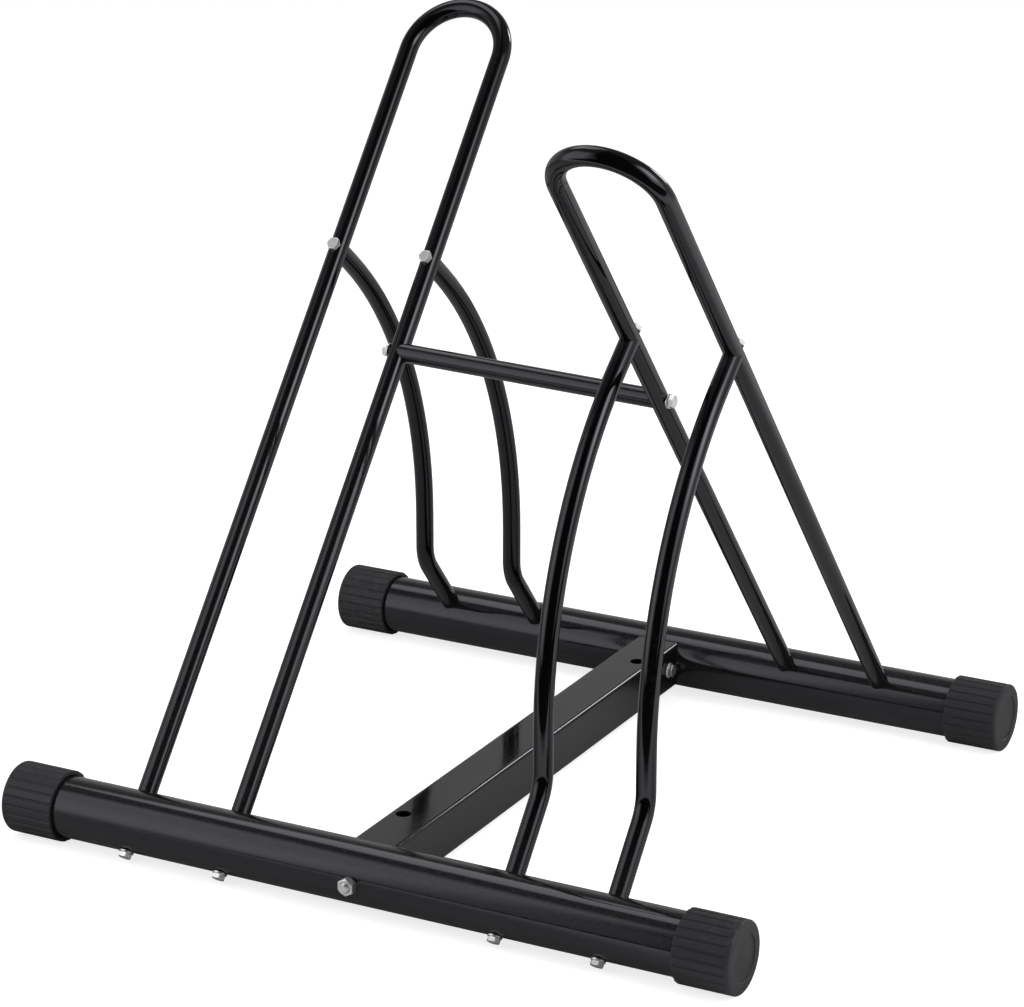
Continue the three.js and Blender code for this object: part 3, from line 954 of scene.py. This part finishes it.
@dataclass
class BentTubes(Assembly):
    """The frame tubes: two hoops, four guides and the tie bar."""

    gap: float = 0.1 * MM

    def base_cope(self) -> Cope:
        """The front base tube, for the feet."""
        return Cope(STAND.on_leg(0.0, 0.0), ALONG_X, STAND.base_radius + self.gap)

    def leg_cope(self, origin: np.ndarray, opposite: bool) -> Cope:
        """A hoop's leg through a point, of the opposite hoop or the front half's own."""
        mirror = np.array([1.0, -1.0, 1.0]) if opposite else 1.0
        return Cope(origin, STAND.up_the_leg * mirror, STAND.tube_radius + self.gap)

    def hoop(self) -> Surface:
        """Two legs and a half-round top over the left wheel slot.

        Returns:
            The closed surface.
        """
        half = STAND.hoop_width / 2
        left, right = -STAND.slot_centre - half, -STAND.slot_centre + half
        start, top = STAND.base_radius - STAND.tube_radius, STAND.hoop_leg + half
        places = [(left, start), (left, top), (right, top), (right, start)]
        line = BentLine([STAND.on_leg(*place) for place in places], [half, half], STAND.through_the_leg)
        return line.tube(self.base_cope(), self.base_cope())

    def guide(self, x: float) -> Surface:
        """Guide from the front base tube to the right hoop's leg at the same X.

        Args:
            x: X of the guide.

        Returns:
            The closed surface.
        """
        joint = STAND.on_opposite_leg(x, STAND.guide_joint)
        upright = STAND.guide_setback - STAND.base_y
        rise = (joint[1] - upright) * math.tan(STAND.lean)
        corners = [
            STAND.on_leg(x, STAND.base_radius - STAND.tube_radius),
            STAND.on_leg(x, STAND.guide_setback / math.sin(STAND.lean)),
            np.array([x, upright, joint[2] - rise]),
            joint,
        ]
        bent = np.linalg.norm(joint - corners[2]) - STAND.guide_end
        top_bend = bent / math.tan((math.pi / 2 - STAND.lean) / 2)
        line = BentLine(corners, [STAND.guide_foot_bend, top_bend], ALONG_X)
        return line.tube(self.base_cope(), self.leg_cope(joint, True))

    def tie_bar(self) -> Surface:
        """Straight tube between the inner legs of the two hoops.

        Returns:
            The closed surface.
        """
        left, right = STAND.tie_ends
        plane = np.cross(right - left, UP)
        line = BentLine([left, right], [], plane / np.linalg.norm(plane))
        return line.tube(self.leg_cope(left, False), self.leg_cope(right, True))

    def build(self) -> None:
        """Adds the hoops, the guides and the tie bar."""
        hoop = self.hoop()
        for end in End:
            self.add(f"hoop_{end.side(-1)}", at(end, hoop), Slot.ENAMEL)
            for x in STAND.feet[2:]:
                name = f"guide_{end.value}_{end.side(x)}_{rank(x)}"
                self.add(name, at(end, self.guide(x)), Slot.ENAMEL)
        self.add("tie_bar", self.tie_bar(), Slot.ENAMEL)


@dataclass
class CentreBar(Assembly):
    """Square bar between the base tubes, open at both ends, with its top holes and cross holes."""

    wall: float = 2 * MM
    corner: float = 3 * MM
    gap: float = 0.15 * MM
    hole_radius: float = 6.3 * MM
    hole_offset: float = 75 * MM
    hole_side: float = 8 * MM
    cross_hole: float = 3.3 * MM
    hold: float = 0.4 * MM
    corner_points: int = 9
    hole_points: int = 64

    def outline(self, inset: float) -> np.ndarray:
        """Rounded square in X and Z about the bar's axis.

        Corner k turns from 90 k to 90 (k + 1) degrees about a centre in from both sides, and a
        point just outside each end of the arc keeps the flat sides flat.

        Args:
            inset: Distance in from the outer surface.

        Returns:
            The points, with shape (points, 2).
        """
        turn = np.linspace(0, math.pi / 2, self.corner_points)
        arc = (self.corner - inset) * np.stack([np.cos(turn), np.sin(turn)], axis=-1)
        corner = STAND.bar_size / 2 - self.corner + arc
        corner = np.concatenate([corner[:1] - [0, self.hold], corner, corner[-1:] - [self.hold, 0]])
        quarter = np.array([[0, 1], [-1, 0]])
        return np.concatenate([corner @ np.linalg.matrix_power(quarter, k) for k in range(4)])

    def ring(self, outline: np.ndarray, way: int) -> np.ndarray:
        """Outline set on the base tube at one end: Y = spacing / 2 - sqrt(R^2 - z^2)."""
        reach = STAND.base_y - np.sqrt((STAND.base_radius + self.gap) ** 2 - outline[:, 1] ** 2)
        return np.stack([outline[:, 0], way * reach, outline[:, 1] + STAND.base_height], axis=-1)

    def blank(self) -> Surface:
        """Bar before its holes: the outer skin runs to the rear and the inner one back.

        Returns:
            The closed surface.
        """
        outer, inner = self.outline(0.0), self.outline(self.wall)
        rings = [self.ring(outer, -1), self.ring(outer, 1), self.ring(inner, 1), self.ring(inner, -1)]
        return loft(np.stack(rings), Close.JOINED)

    def cutters(self) -> list[Surface]:
        """Everything that is cut from the blank: the top holes and the cross holes.

        Returns:
            Closed surfaces, in place.
        """

        def pin(radius: float, low: float, high: float) -> Surface:
            """Round cutter along Z."""
            profile = np.array([[radius, low], [radius, high]])
            return loft(turned_profile(profile, self.hole_points), Close.POLES)

        half = STAND.bar_size / 2
        place = np.array([-self.hole_side, self.hole_offset - STAND.base_y, STAND.base_height])
        top = pin(self.hole_radius, half - 2 * self.wall, half + self.wall)
        top = top.placed(frame_along(place, UP, ALONG_X))
        cross = pin(self.cross_hole, -2 * half, 2 * half)
        cross = cross.placed(frame_along(STAND.cross_axis, ALONG_X, UP))
        return [top, top.turned(), cross, cross.turned()]

    def build(self) -> None:
        """Adds the bar and cuts its holes."""
        bar = self.add("centre_bar", self.blank(), Slot.ENAMEL)
        for surface in self.cutters():
            combine(bar, surface, "DIFFERENCE")
        LOG.info("centre bar cut: %d faces", len(bar.data.polygons))


@dataclass(frozen=True)
class Thread:
    """Metric thread: its outer radius and pitch, and its groove's depth as a share of the pitch."""

    radius: float
    pitch: float
    share: float = 0.6
    per_turn: int = 6
    tip_slope: float = 0.8

    @property
    def depth(self) -> float:
        """Depth of the groove."""
        return self.share * self.pitch


@dataclass(frozen=True)
class Hexagon:
    """Head of a bolt, or a nut: distance from the middle to a flat, and height."""

    apothem: float
    height: float
    face: float = 0.35 * MM
    face_share: float = 0.94
    circle_share: float = 0.95
    steps: tuple[float, ...] = (0.0, 0.05, 0.25, 0.5, 0.75, 1.0)
    per_side: int = 8

    @property
    def around(self) -> int:
        """Points in each ring."""
        return 6 * self.per_side

    def reach(self) -> np.ndarray:
        """Distance to the outline at each angle: apothem / cos(angle from the nearest flat)."""
        angle = np.arange(self.around) * TAU / self.around
        return self.apothem / np.cos((angle % (TAU / 6)) - TAU / 12)

    def crown(self) -> tuple[np.ndarray, np.ndarray]:
        """Radii and depths below the top of the chamfered end.

        From the chamfer circle, a little inside the flats, the surface falls at 30 degrees to the
        outline: depth = (distance - circle) tan 30.

        Returns:
            Radii and depths, each with shape (rings, points).
        """
        circle = self.circle_share * self.apothem
        radius = circle + np.array(self.steps)[:, None] * (self.reach() - circle)
        return radius, (radius - circle) * math.tan(math.pi / 6)


def rings_of(radius: np.ndarray, height: np.ndarray) -> np.ndarray:
    """Rings (r cos a, r sin a, z) from radii and heights of shape (rings, points)."""
    angle = np.arange(radius.shape[1]) * TAU / radius.shape[1]
    return np.stack([radius * np.cos(angle), radius * np.sin(angle), height], axis=-1)


Rows = list[tuple[np.ndarray, np.ndarray]]


def skin(rows: Rows, close: Close) -> Surface:
    """Loft over rows of radii and heights, each with shape (rings, points)."""
    radius, height = (np.concatenate(part) for part in zip(*rows))
    return loft(rings_of(radius, height), close)


@dataclass(frozen=True)
class BoltKind:
    """One size of bolt with its nut, and its washer or flange.

    The flange's rim starts, bends and ends at shares of its thickness above its seat.
    """

    thread: Thread
    head: Hexagon
    washer_radius: float = 6 * MM
    washer_thickness: float = 1.6 * MM
    washer_soft: float = 0.25 * MM
    flange_radius: float = 0.0
    flange_thickness: float = 0.0
    flange_root: float = 1.1
    flange_rim: tuple[float, float, float] = (0.55, 0.4, 0.1)
    hole_clearance: float = 0.3 * MM
    nut_clearance: float = 0.12 * MM
    nut_lead: float = 0.5 * MM
    soft: float = 0.3 * MM

    def flat(self, radius: float, height: float) -> tuple[np.ndarray, np.ndarray]:
        """Round row with one radius and one height."""
        ones = np.ones((1, self.head.around))
        return ones * radius, ones * height

    def screw(self, start: float, tip: float, threaded: float) -> Rows:
        """Rows of a shank with a threaded end.

        The thread's radius at an angle a and height z is R - depth w(z / pitch - a / 2 pi), with w
        a triangle wave from 0 to 1, fading in over the first pitch and cut by the tip's chamfer.

        Args:
            start: Z where the plain shank starts.
            tip: Z of the tip.
            threaded: Length of the thread.

        Returns:
            The rows, from the start to the tip.
        """
        shank, pitch, depth = self.thread.radius, self.thread.pitch, self.thread.depth
        z = np.arange(tip - threaded, tip, pitch / self.thread.per_turn)[:, None]
        angle = np.arange(self.head.around) * TAU / self.head.around
        phase = (z / pitch - angle / TAU) % 1.0
        fade = np.clip((z - z[0]) / pitch, 0, 1)
        thread = shank - depth * (1 - np.abs(2 * phase - 1)) * fade
        chamfer = shank - depth + (tip - z) * self.thread.tip_slope
        return [
            self.flat(shank, start),
            self.flat(shank, tip - threaded - pitch),
            (np.minimum(thread, chamfer), z + 0 * angle),
            self.flat(shank - depth, tip),
        ]

    def bolt(self, seat: float, tip: float, threaded: float) -> Surface:
        """Bolt along Z from the underside of its head to its tip.

        Args:
            seat: Z of the underside of the head, or of its flange.
            tip: Z of the tip.
            threaded: Length of the thread.

        Returns:
            The closed surface.
        """
        head, shank, soft = self.head, self.thread.radius, self.soft
        crown_radius, crown_depth = head.crown()
        low = seat - max(self.flange_thickness, head.face)
        rim = head.face_share * head.apothem
        collar = [(rim, low)]
        if self.flange_radius:
            rim = self.flange_radius
            heights = [seat - share * self.flange_thickness for share in self.flange_rim]
            collar = [(self.flange_root * head.apothem, low), *zip((rim - soft, rim, rim), heights)]
            rim -= soft / 2
        rows = [
            self.flat(head.apothem / 2, seat - head.height),
            (crown_radius, seat - head.height + crown_depth),
            (head.reach()[None], np.full((1, head.around), low)),
        ]
        under = [(rim, seat), (shank + soft, seat), (shank + soft / 3, seat + soft / 3)]
        rows += [self.flat(radius, z) for radius, z in collar + under]
        return skin(rows + self.screw(seat + soft, tip, threaded), Close.POLES)

    def nut(self, low: float, height: float) -> Surface:
        """Nut along Z, chamfered at both ends, with a plain bore just past the thread.

        Args:
            low: Z of its lower face.
            height: Its height.

        Returns:
            The closed surface.
        """
        crown_radius, crown_depth = self.head.crown()
        bore, lead = self.thread.radius + self.nut_clearance, self.nut_lead
        high = low + height
        rows = [
            self.flat(bore, low + lead),
            self.flat(bore + lead, low),
            (crown_radius, low + crown_depth),
            (crown_radius[::-1], high - crown_depth[::-1]),
            self.flat(bore + lead, high),
            self.flat(bore, high - lead),
        ]
        return skin(rows, Close.JOINED)

    def washer(self, low: float) -> Surface:
        """Flat washer along Z with small rounded edges."""
        inner, outer = self.thread.radius + self.hole_clearance, self.washer_radius
        return rounded_ring(inner, outer, low, low + self.washer_thickness, self.washer_soft)


def rounded_ring(
    inner: float, outer: float, low: float, high: float, soft: float, around: int = 72
) -> Surface:
    """Ring along Z whose four edges are rounded.

    Args:
        inner: Radius of its hole.
        outer: Outer radius.
        low: Z of its lower face.
        high: Z of its upper face.
        soft: Radius of the rounding.
        around: Points round it.

    Returns:
        The closed surface.
    """
    reach, hole, ground, top = outer - soft, inner + soft, low + soft, high - soft
    centres = [(reach, ground), (reach, top), (hole, top), (hole, ground)]
    turns = [90.0 * quarter for quarter in range(-1, 3)]
    profile = [fillet(centre, soft, turn, turn + 90.0, 3) for centre, turn in zip(centres, turns)]
    return loft(turned_profile(np.concatenate(profile), around), Close.JOINED)


SMALL_THREAD = Thread(3 * MM, 1 * MM)
JOINT_BOLT = BoltKind(SMALL_THREAD, Hexagon(4.98 * MM, 4 * MM))
CROSS_BOLT = BoltKind(
    SMALL_THREAD, Hexagon(4.98 * MM, 4.75 * MM), flange_radius=7 * MM, flange_thickness=1.5 * MM
)
EYE_BOLT = BoltKind(Thread(4 * MM, 1.25 * MM), Hexagon(6.49 * MM, 6.5 * MM))


@dataclass
class Fasteners(Assembly):
    """Bolts, washers and nuts, and the inserts inside the tube ends."""

    cope_gap: float = 0.3 * MM
    engagement: float = 15 * MM
    threaded: float = 13 * MM
    insert_radius: float = 6.08 * MM
    eye_radius: float = 7.3 * MM
    eye_thickness: float = 9 * MM
    eye_soft: float = 1.2 * MM
    cross_nut: float = 5 * MM
    proud: float = 3 * MM

    def joint(
        self,
        end: End,
        names: Callable[[str], str],
        origin: np.ndarray,
        way: np.ndarray,
        radius: float,
        washer: bool,
        skew: float = 0.0,
    ) -> None:
        """Adds a bolt through a tube, head first, with or without a washer.

        Args:
            end: Half of the stand that it is for.
            names: Gives the solid's name for "bolt" and "washer".
            origin: Where the bolt's axis crosses the tube's.
            way: Direction from the head to the tip.
            radius: Radius of the tube.
            washer: Whether there is a washer under the head.
            skew: Cosine of the angle between the bolt and the tube.
        """
        kind = JOINT_BOLT
        under = kind.washer_radius if washer else kind.head.apothem / math.cos(math.pi / 6)

        def clear_of(reach: float) -> float:
            """Distance at which a disc of that reach clears the tube."""
            return (radius + reach * abs(skew)) / math.sqrt(1 - skew**2)

        matrix = frame_along(origin, way, UP if abs(way[2]) < 0.5 else ALONG_X)
        face = clear_of(under) + STAND.seat
        seat = face + kind.washer_thickness + STAND.seat if washer else face
        tip = clear_of(self.insert_radius) + self.cope_gap + STAND.seat + self.engagement
        self.zinc(names("bolt"), end, kind.bolt(-seat, tip, self.threaded), matrix)
        if washer:
            self.zinc(names("washer"), end, kind.washer(-(face + kind.washer_thickness)), matrix)

    def zinc(self, node: str, end: End, surface: Surface, matrix: np.ndarray) -> bpy.types.Object:
        """Adds a zinc piece of the front half, laid by a matrix and carried to its end."""
        return self.add(node, at(end, surface.placed(matrix)), Slot.ZINC)

    def centre(self, end: End) -> None:
        """Adds the eye bolt that goes from inside the bar out through the base tube, and its nut.

        Args:
            end: Half of the stand that they are for.
        """
        kind = EYE_BOLT
        outward = frame_along(STAND.on_leg(0.0, 0.0), -ALONG_Y, UP)
        nut = STAND.base_radius + STAND.seat
        height, tip = kind.head.height, nut + kind.head.height + self.proud
        start = kind.thread.radius - STAND.cross_offset
        stud = skin(kind.screw(start, tip, height + 3 * self.proud), Close.POLES)
        bolt = self.zinc(f"centre_bolt_{end.value}", end, stud, outward)
        half, bore = self.eye_thickness / 2, CROSS_BOLT.thread.radius + CROSS_BOLT.hole_clearance
        across = frame_along(STAND.cross_axis, ALONG_X, UP)
        eye = rounded_ring(bore, self.eye_radius, -half, half, self.eye_soft).placed(across)
        combine(bolt, at(end, eye), "UNION")
        self.zinc(f"centre_nut_{end.value}", end, kind.nut(nut, height), outward)

    def cross(self, end: End) -> None:
        """Adds the flanged bolt through the bar and the eye, and its nut.

        Args:
            end: Half of the stand that they are for.
        """
        kind = CROSS_BOLT
        across = frame_along(STAND.cross_axis, ALONG_X, UP)
        seat = STAND.bar_size / 2 + STAND.seat
        tip = seat + self.cross_nut + self.proud
        self.zinc(f"cross_bolt_{end.value}", end, kind.bolt(-seat, tip, self.threaded), across)
        self.zinc(f"cross_nut_{end.value}", end, kind.nut(seat, self.cross_nut), across)

    def build(self) -> None:
        """Adds every fastener, and the zinc finish to the inserts."""
        left, right = STAND.tie_ends
        along = (right - left) / np.linalg.norm(right - left)
        tube, skew = STAND.tube_radius, float(along @ STAND.up_the_leg)
        for end in End:
            for x in STAND.feet:
                place = f"{end.side(x)}_{rank(x)}"
                foot = STAND.on_leg(x, 0.0)
                names = f"foot_{{}}_{end.value}_{place}".format
                self.joint(end, names, foot, STAND.up_the_leg, STAND.base_radius, True)
                if x < 0:
                    names = f"guide_{{}}_{place}".format
                    top = STAND.on_leg(x, STAND.guide_joint)
                    self.joint(end, names, top, STAND.through_the_leg, tube, False)
            self.joint(end, f"tie_{{}}_{end.side(-1)}".format, left, along, tube, True, skew)
            self.centre(end)
            self.cross(end)
        inserts = [node for name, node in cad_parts.items() if "insert" in name]
        for node in inserts:
            node.data.materials.clear()
            node.data.materials.append(self.finishes[Slot.ZINC].material)
        LOG.info("%d inserts finished in zinc", len(inserts))


# ---------------------------------------------------------------------------------------------
# Studio
# ---------------------------------------------------------------------------------------------


def stage_piece(name: str, surface: Surface, only_mirrored: bool = False) -> tuple[bpy.types.Object, Wiring]:
    """Adds a piece of the studio with an empty material of its own.

    Args:
        name: Name of the piece and its material.
        surface: Its surface.
        only_mirrored: Whether nothing but reflections sees it.

    Returns:
        The piece, and the wiring of its material.
    """
    piece = mesh_object(name, surface)
    if only_mirrored:
        for kind in ("camera", "diffuse", "transmission", "volume_scatter", "shadow"):
            setattr(piece, f"visible_{kind}", False)
    material, wiring = new_material(name)
    piece.data.materials.append(material)
    return piece, wiring


@dataclass(frozen=True)
class Softbox:
    """Rectangular lamp: its middle, what it faces, its size and how bright its face looks.

    The lamp lights the stand, and a sheet with soft edges in its place is what reflections see.
    """

    name: str
    position: tuple[float, float, float]
    target: tuple[float, float, float]
    width: float
    height: float
    radiance: float
    edge: float = 0.25

    def build(self) -> None:
        """Adds the lamp, whose power is pi times its radiance and area, and its sheet."""
        lamp = bpy.data.lights.new(self.name, "AREA")
        lamp.shape = "RECTANGLE"
        lamp.size, lamp.size_y = self.width, self.height
        lamp.energy = math.pi * self.radiance * self.width * self.height
        holder = bpy.data.objects.new(self.name, lamp)
        holder.location = self.position
        way = Vector(self.target) - Vector(self.position)
        holder.rotation_euler = way.to_track_quat("-Z", "Y").to_euler()
        holder.visible_camera = holder.visible_glossy = False
        bpy.context.scene.collection.objects.link(holder)
        self.sheet(np.array(way))

    def sheet(self, way: np.ndarray) -> None:
        """Adds the sheet: clear, with a brightness added to it.

        The brightness is the product over u and v of a smooth step from 0 to 1 over the edge's share
        of each side.

        Args:
            way: The direction that it faces.
        """
        matrix = frame_along(np.array(self.position), way, UP)
        surface = plate(self.height / 2, self.width / 2).placed(matrix)
        piece, w = stage_piece(self.name + "_sheet", surface, only_mirrored=True)
        uv = piece.data.uv_layers.new(name="sheet")
        uv.data.foreach_set("uv", [0.0, 0.0, 1.0, 0.0, 1.0, 1.0, 0.0, 1.0])
        soft = []
        for share in w.split(w.place("UVMap", uv_map="sheet").outputs[0])[:2]:
            inside = w.math("SUBTRACT", 0.5, w.math("ABSOLUTE", w.math("SUBTRACT", share, 0.5)))
            soft.append(w.spread(inside, 0.0, self.edge, 0.0, 1.0, smooth=True))
        strength = w.math("MULTIPLY", w.math("MULTIPLY", *soft), self.radiance)
        w.show(w.place("BsdfTransparent"), w.place("Emission", {"Strength": strength}))


@dataclass(frozen=True)
class View:
    """The photograph's camera: place, angles in radians, and focal length in pixels."""

    place: tuple[float, float, float] = (1.390941, -2.634633, 1.271779)
    yaw: float = math.radians(28.061)
    pitch: float = math.radians(-18.854)
    focal_pixels: float = 3817.75
    image_width: float = 1024.0
    reach: float = 100.0

    def build(self) -> None:
        """Adds the camera: it looks along (-sin yaw cos pitch, cos yaw cos pitch, sin pitch)."""
        level = math.cos(self.pitch)
        ahead = Vector((-math.sin(self.yaw) * level, math.cos(self.yaw) * level, math.sin(self.pitch)))
        right = Vector((math.cos(self.yaw), math.sin(self.yaw), 0.0))
        lens = bpy.data.cameras.new("camera")
        lens.sensor_fit = "HORIZONTAL"
        lens.lens = self.focal_pixels / self.image_width * lens.sensor_width
        lens.clip_end = self.reach
        holder = bpy.data.objects.new("camera", lens)
        turn = Matrix((right, right.cross(ahead), -ahead)).transposed()
        holder.matrix_world = Matrix.Translation(self.place) @ turn.to_4x4()
        bpy.context.scene.collection.objects.link(holder)
        bpy.context.scene.camera = holder


@dataclass(frozen=True)
class Studio:
    """White table in a grey room that is dark at the front, with softboxes and the camera.

    A band says where a brightness starts and ends its change, and its levels there.
    """

    floor_half: float = 30.0
    floor_glow: float = 0.76
    floor_colour: Colour = grey(0.55)
    floor_mirrored: Colour = grey(0.41)
    floor_beyond: Colour = grey(0.03)
    front: float = math.radians(-66.0)
    table_end: tuple[float, ...] = (0.56, 0.66, 0.0, 1.0)
    lit_ahead: tuple[float, ...] = (0.36, 0.5, 0.0, 0.55)
    lit_aside: tuple[float, ...] = (0.5, 0.8, 0.0, 0.45)
    room_radius: float = 3.0
    room_arc: tuple[float, float, int] = (-4, 86, 31)
    room_around: int = 72
    wall: tuple[float, ...] = (1.1, 2.1, 0.46, 0.15)
    dark_front: tuple[float, ...] = (math.radians(34.0), math.radians(44.0), 0.0, 1.0)
    room_least: float = 0.015
    fill: float = 0.42
    lamps: tuple[Softbox, ...] = (
        Softbox("softbox_left", (-0.79, -0.94, 0.76), (0.0, 0.0, 0.3), 1.25, 1.85, 1.05),
        Softbox("softbox_right", (1.45, -0.2, 0.9), (0.0, -0.05, 0.3), 1.5, 1.6, 1.1),
        Softbox("softbox_right_heart", (1.4, -0.2, 1.16), (0.0, -0.05, 0.3), 0.9, 1.45, 3.5, 0.4),
        Softbox("softbox_above", (-0.74, 0.38, 1.8), (-0.39, 0.18, 0.0), 1.0, 1.5, 1.7, 0.2),
        Softbox("rim_lamp", (0.575, 1.8, 1.11), (0.0, 0.0, 0.1), 0.35, 0.65, 12.0, 0.15),
    )
    view: View = View()

    def floor(self) -> None:
        """Adds the floor.

        To the camera most of its brightness is its own, so shadows stay faint. Reflections see a
        greyer table with a painted glow of lamp light, brighter to the right and in front of the
        stand, that ends at a line beyond which it is dark.
        """
        w = stage_piece("studio_floor", plate(self.floor_half, self.floor_half))[1]
        x, y = w.split(w.place("TexCoord").outputs["Object"])[:2]
        rays = w.place("LightPath").outputs
        mirrored = rays["Is Glossy Ray"]
        ahead = w.math("MULTIPLY", x, math.cos(self.front))
        ahead = w.math("ADD", ahead, w.math("MULTIPLY", y, math.sin(self.front)))
        beyond = w.spread(ahead, *self.table_end, smooth=True)
        # Painted glow: only reflections see it, lighter ahead of the stand and to its right, standing in for
        # lamp light on the table.
        bright_ahead = w.spread(ahead, *self.lit_ahead, smooth=True)
        bright_aside = w.spread(x, *self.lit_aside, smooth=True)
        near_light = w.math("MAXIMUM", bright_ahead, bright_aside)
        on_table = w.math("SUBTRACT", mirrored, w.math("MULTIPLY", beyond, mirrored))
        seen = w.math("MULTIPLY", rays["Is Camera Ray"], self.floor_glow)
        strength = w.math("ADD", seen, w.math("MULTIPLY", near_light, on_table))
        table = w.blend(beyond, self.floor_mirrored, self.floor_beyond)
        diffuse = w.place("BsdfDiffuse", {"Color": w.blend(mirrored, self.floor_colour, table)})
        w.show(diffuse, w.place("Emission", {"Color": grey(1.0), "Strength": strength}))

    def room(self) -> None:
        """Adds the room that only reflections see: a grey dome, darker above and in front.

        Its profile is an arc: (R cos e, R sin e) at each elevation e.
        """
        elevation = np.radians(np.linspace(*self.room_arc))
        profile = self.room_radius * np.stack([np.cos(elevation), np.sin(elevation)], axis=-1)
        dome = loft(turned_profile(profile, self.room_around), Close.POLES)
        w = stage_piece("studio_room", dome, only_mirrored=True)[1]
        x, y, z = w.split(w.place("TexCoord").outputs["Object"])
        aside = w.math("ABSOLUTE", w.math("SUBTRACT", w.math("ARCTAN2", y, x), self.front))
        share = w.spread(aside, *self.dark_front, smooth=True)
        level = w.math("MULTIPLY", w.spread(z, *self.wall, smooth=True), share)
        w.show(w.place("Emission", {"Strength": w.math("ADD", level, self.room_least)}))

    def world(self) -> None:
        """Sets a white world for what is seen, and a plain level for what it lights."""
        world = bpy.data.worlds.new("white_room")
        world.use_nodes = True
        world.node_tree.nodes.clear()
        w = Wiring(world.node_tree)
        rays = w.place("LightPath").outputs
        seen = w.math("MAXIMUM", rays["Is Camera Ray"], rays["Is Glossy Ray"])
        seen = w.math("MAXIMUM", seen, rays["Is Transmission Ray"])
        strength = w.spread(seen, 0.0, 1.0, self.fill, 1.0)
        sky = w.place("Background", {"Color": grey(1.0), "Strength": strength})
        w.place("OutputWorld", {"Surface": sky.outputs[0]})
        bpy.context.scene.world = world

    def build(self) -> None:
        """Adds the floor, the room, the world, the lamps and the camera."""
        self.floor()
        self.room()
        self.world()
        for lamp in self.lamps:
            lamp.build()
        self.view.build()
        bpy.context.scene.view_settings.view_transform = "Standard"
        LOG.info("studio ready: %d lamps", len(self.lamps))


def main() -> None:
    logging.basicConfig(level=logging.INFO, format="%(name)s: %(message)s")
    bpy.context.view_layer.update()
    Studio().build()
    finishes = make_finishes()
    for assembly in (BaseTubes, EndCaps, BentTubes, CentreBar, Fasteners):
        assembly(finishes).build()
    bpy.context.view_layer.update()


if __name__ == "__main__":
    main()
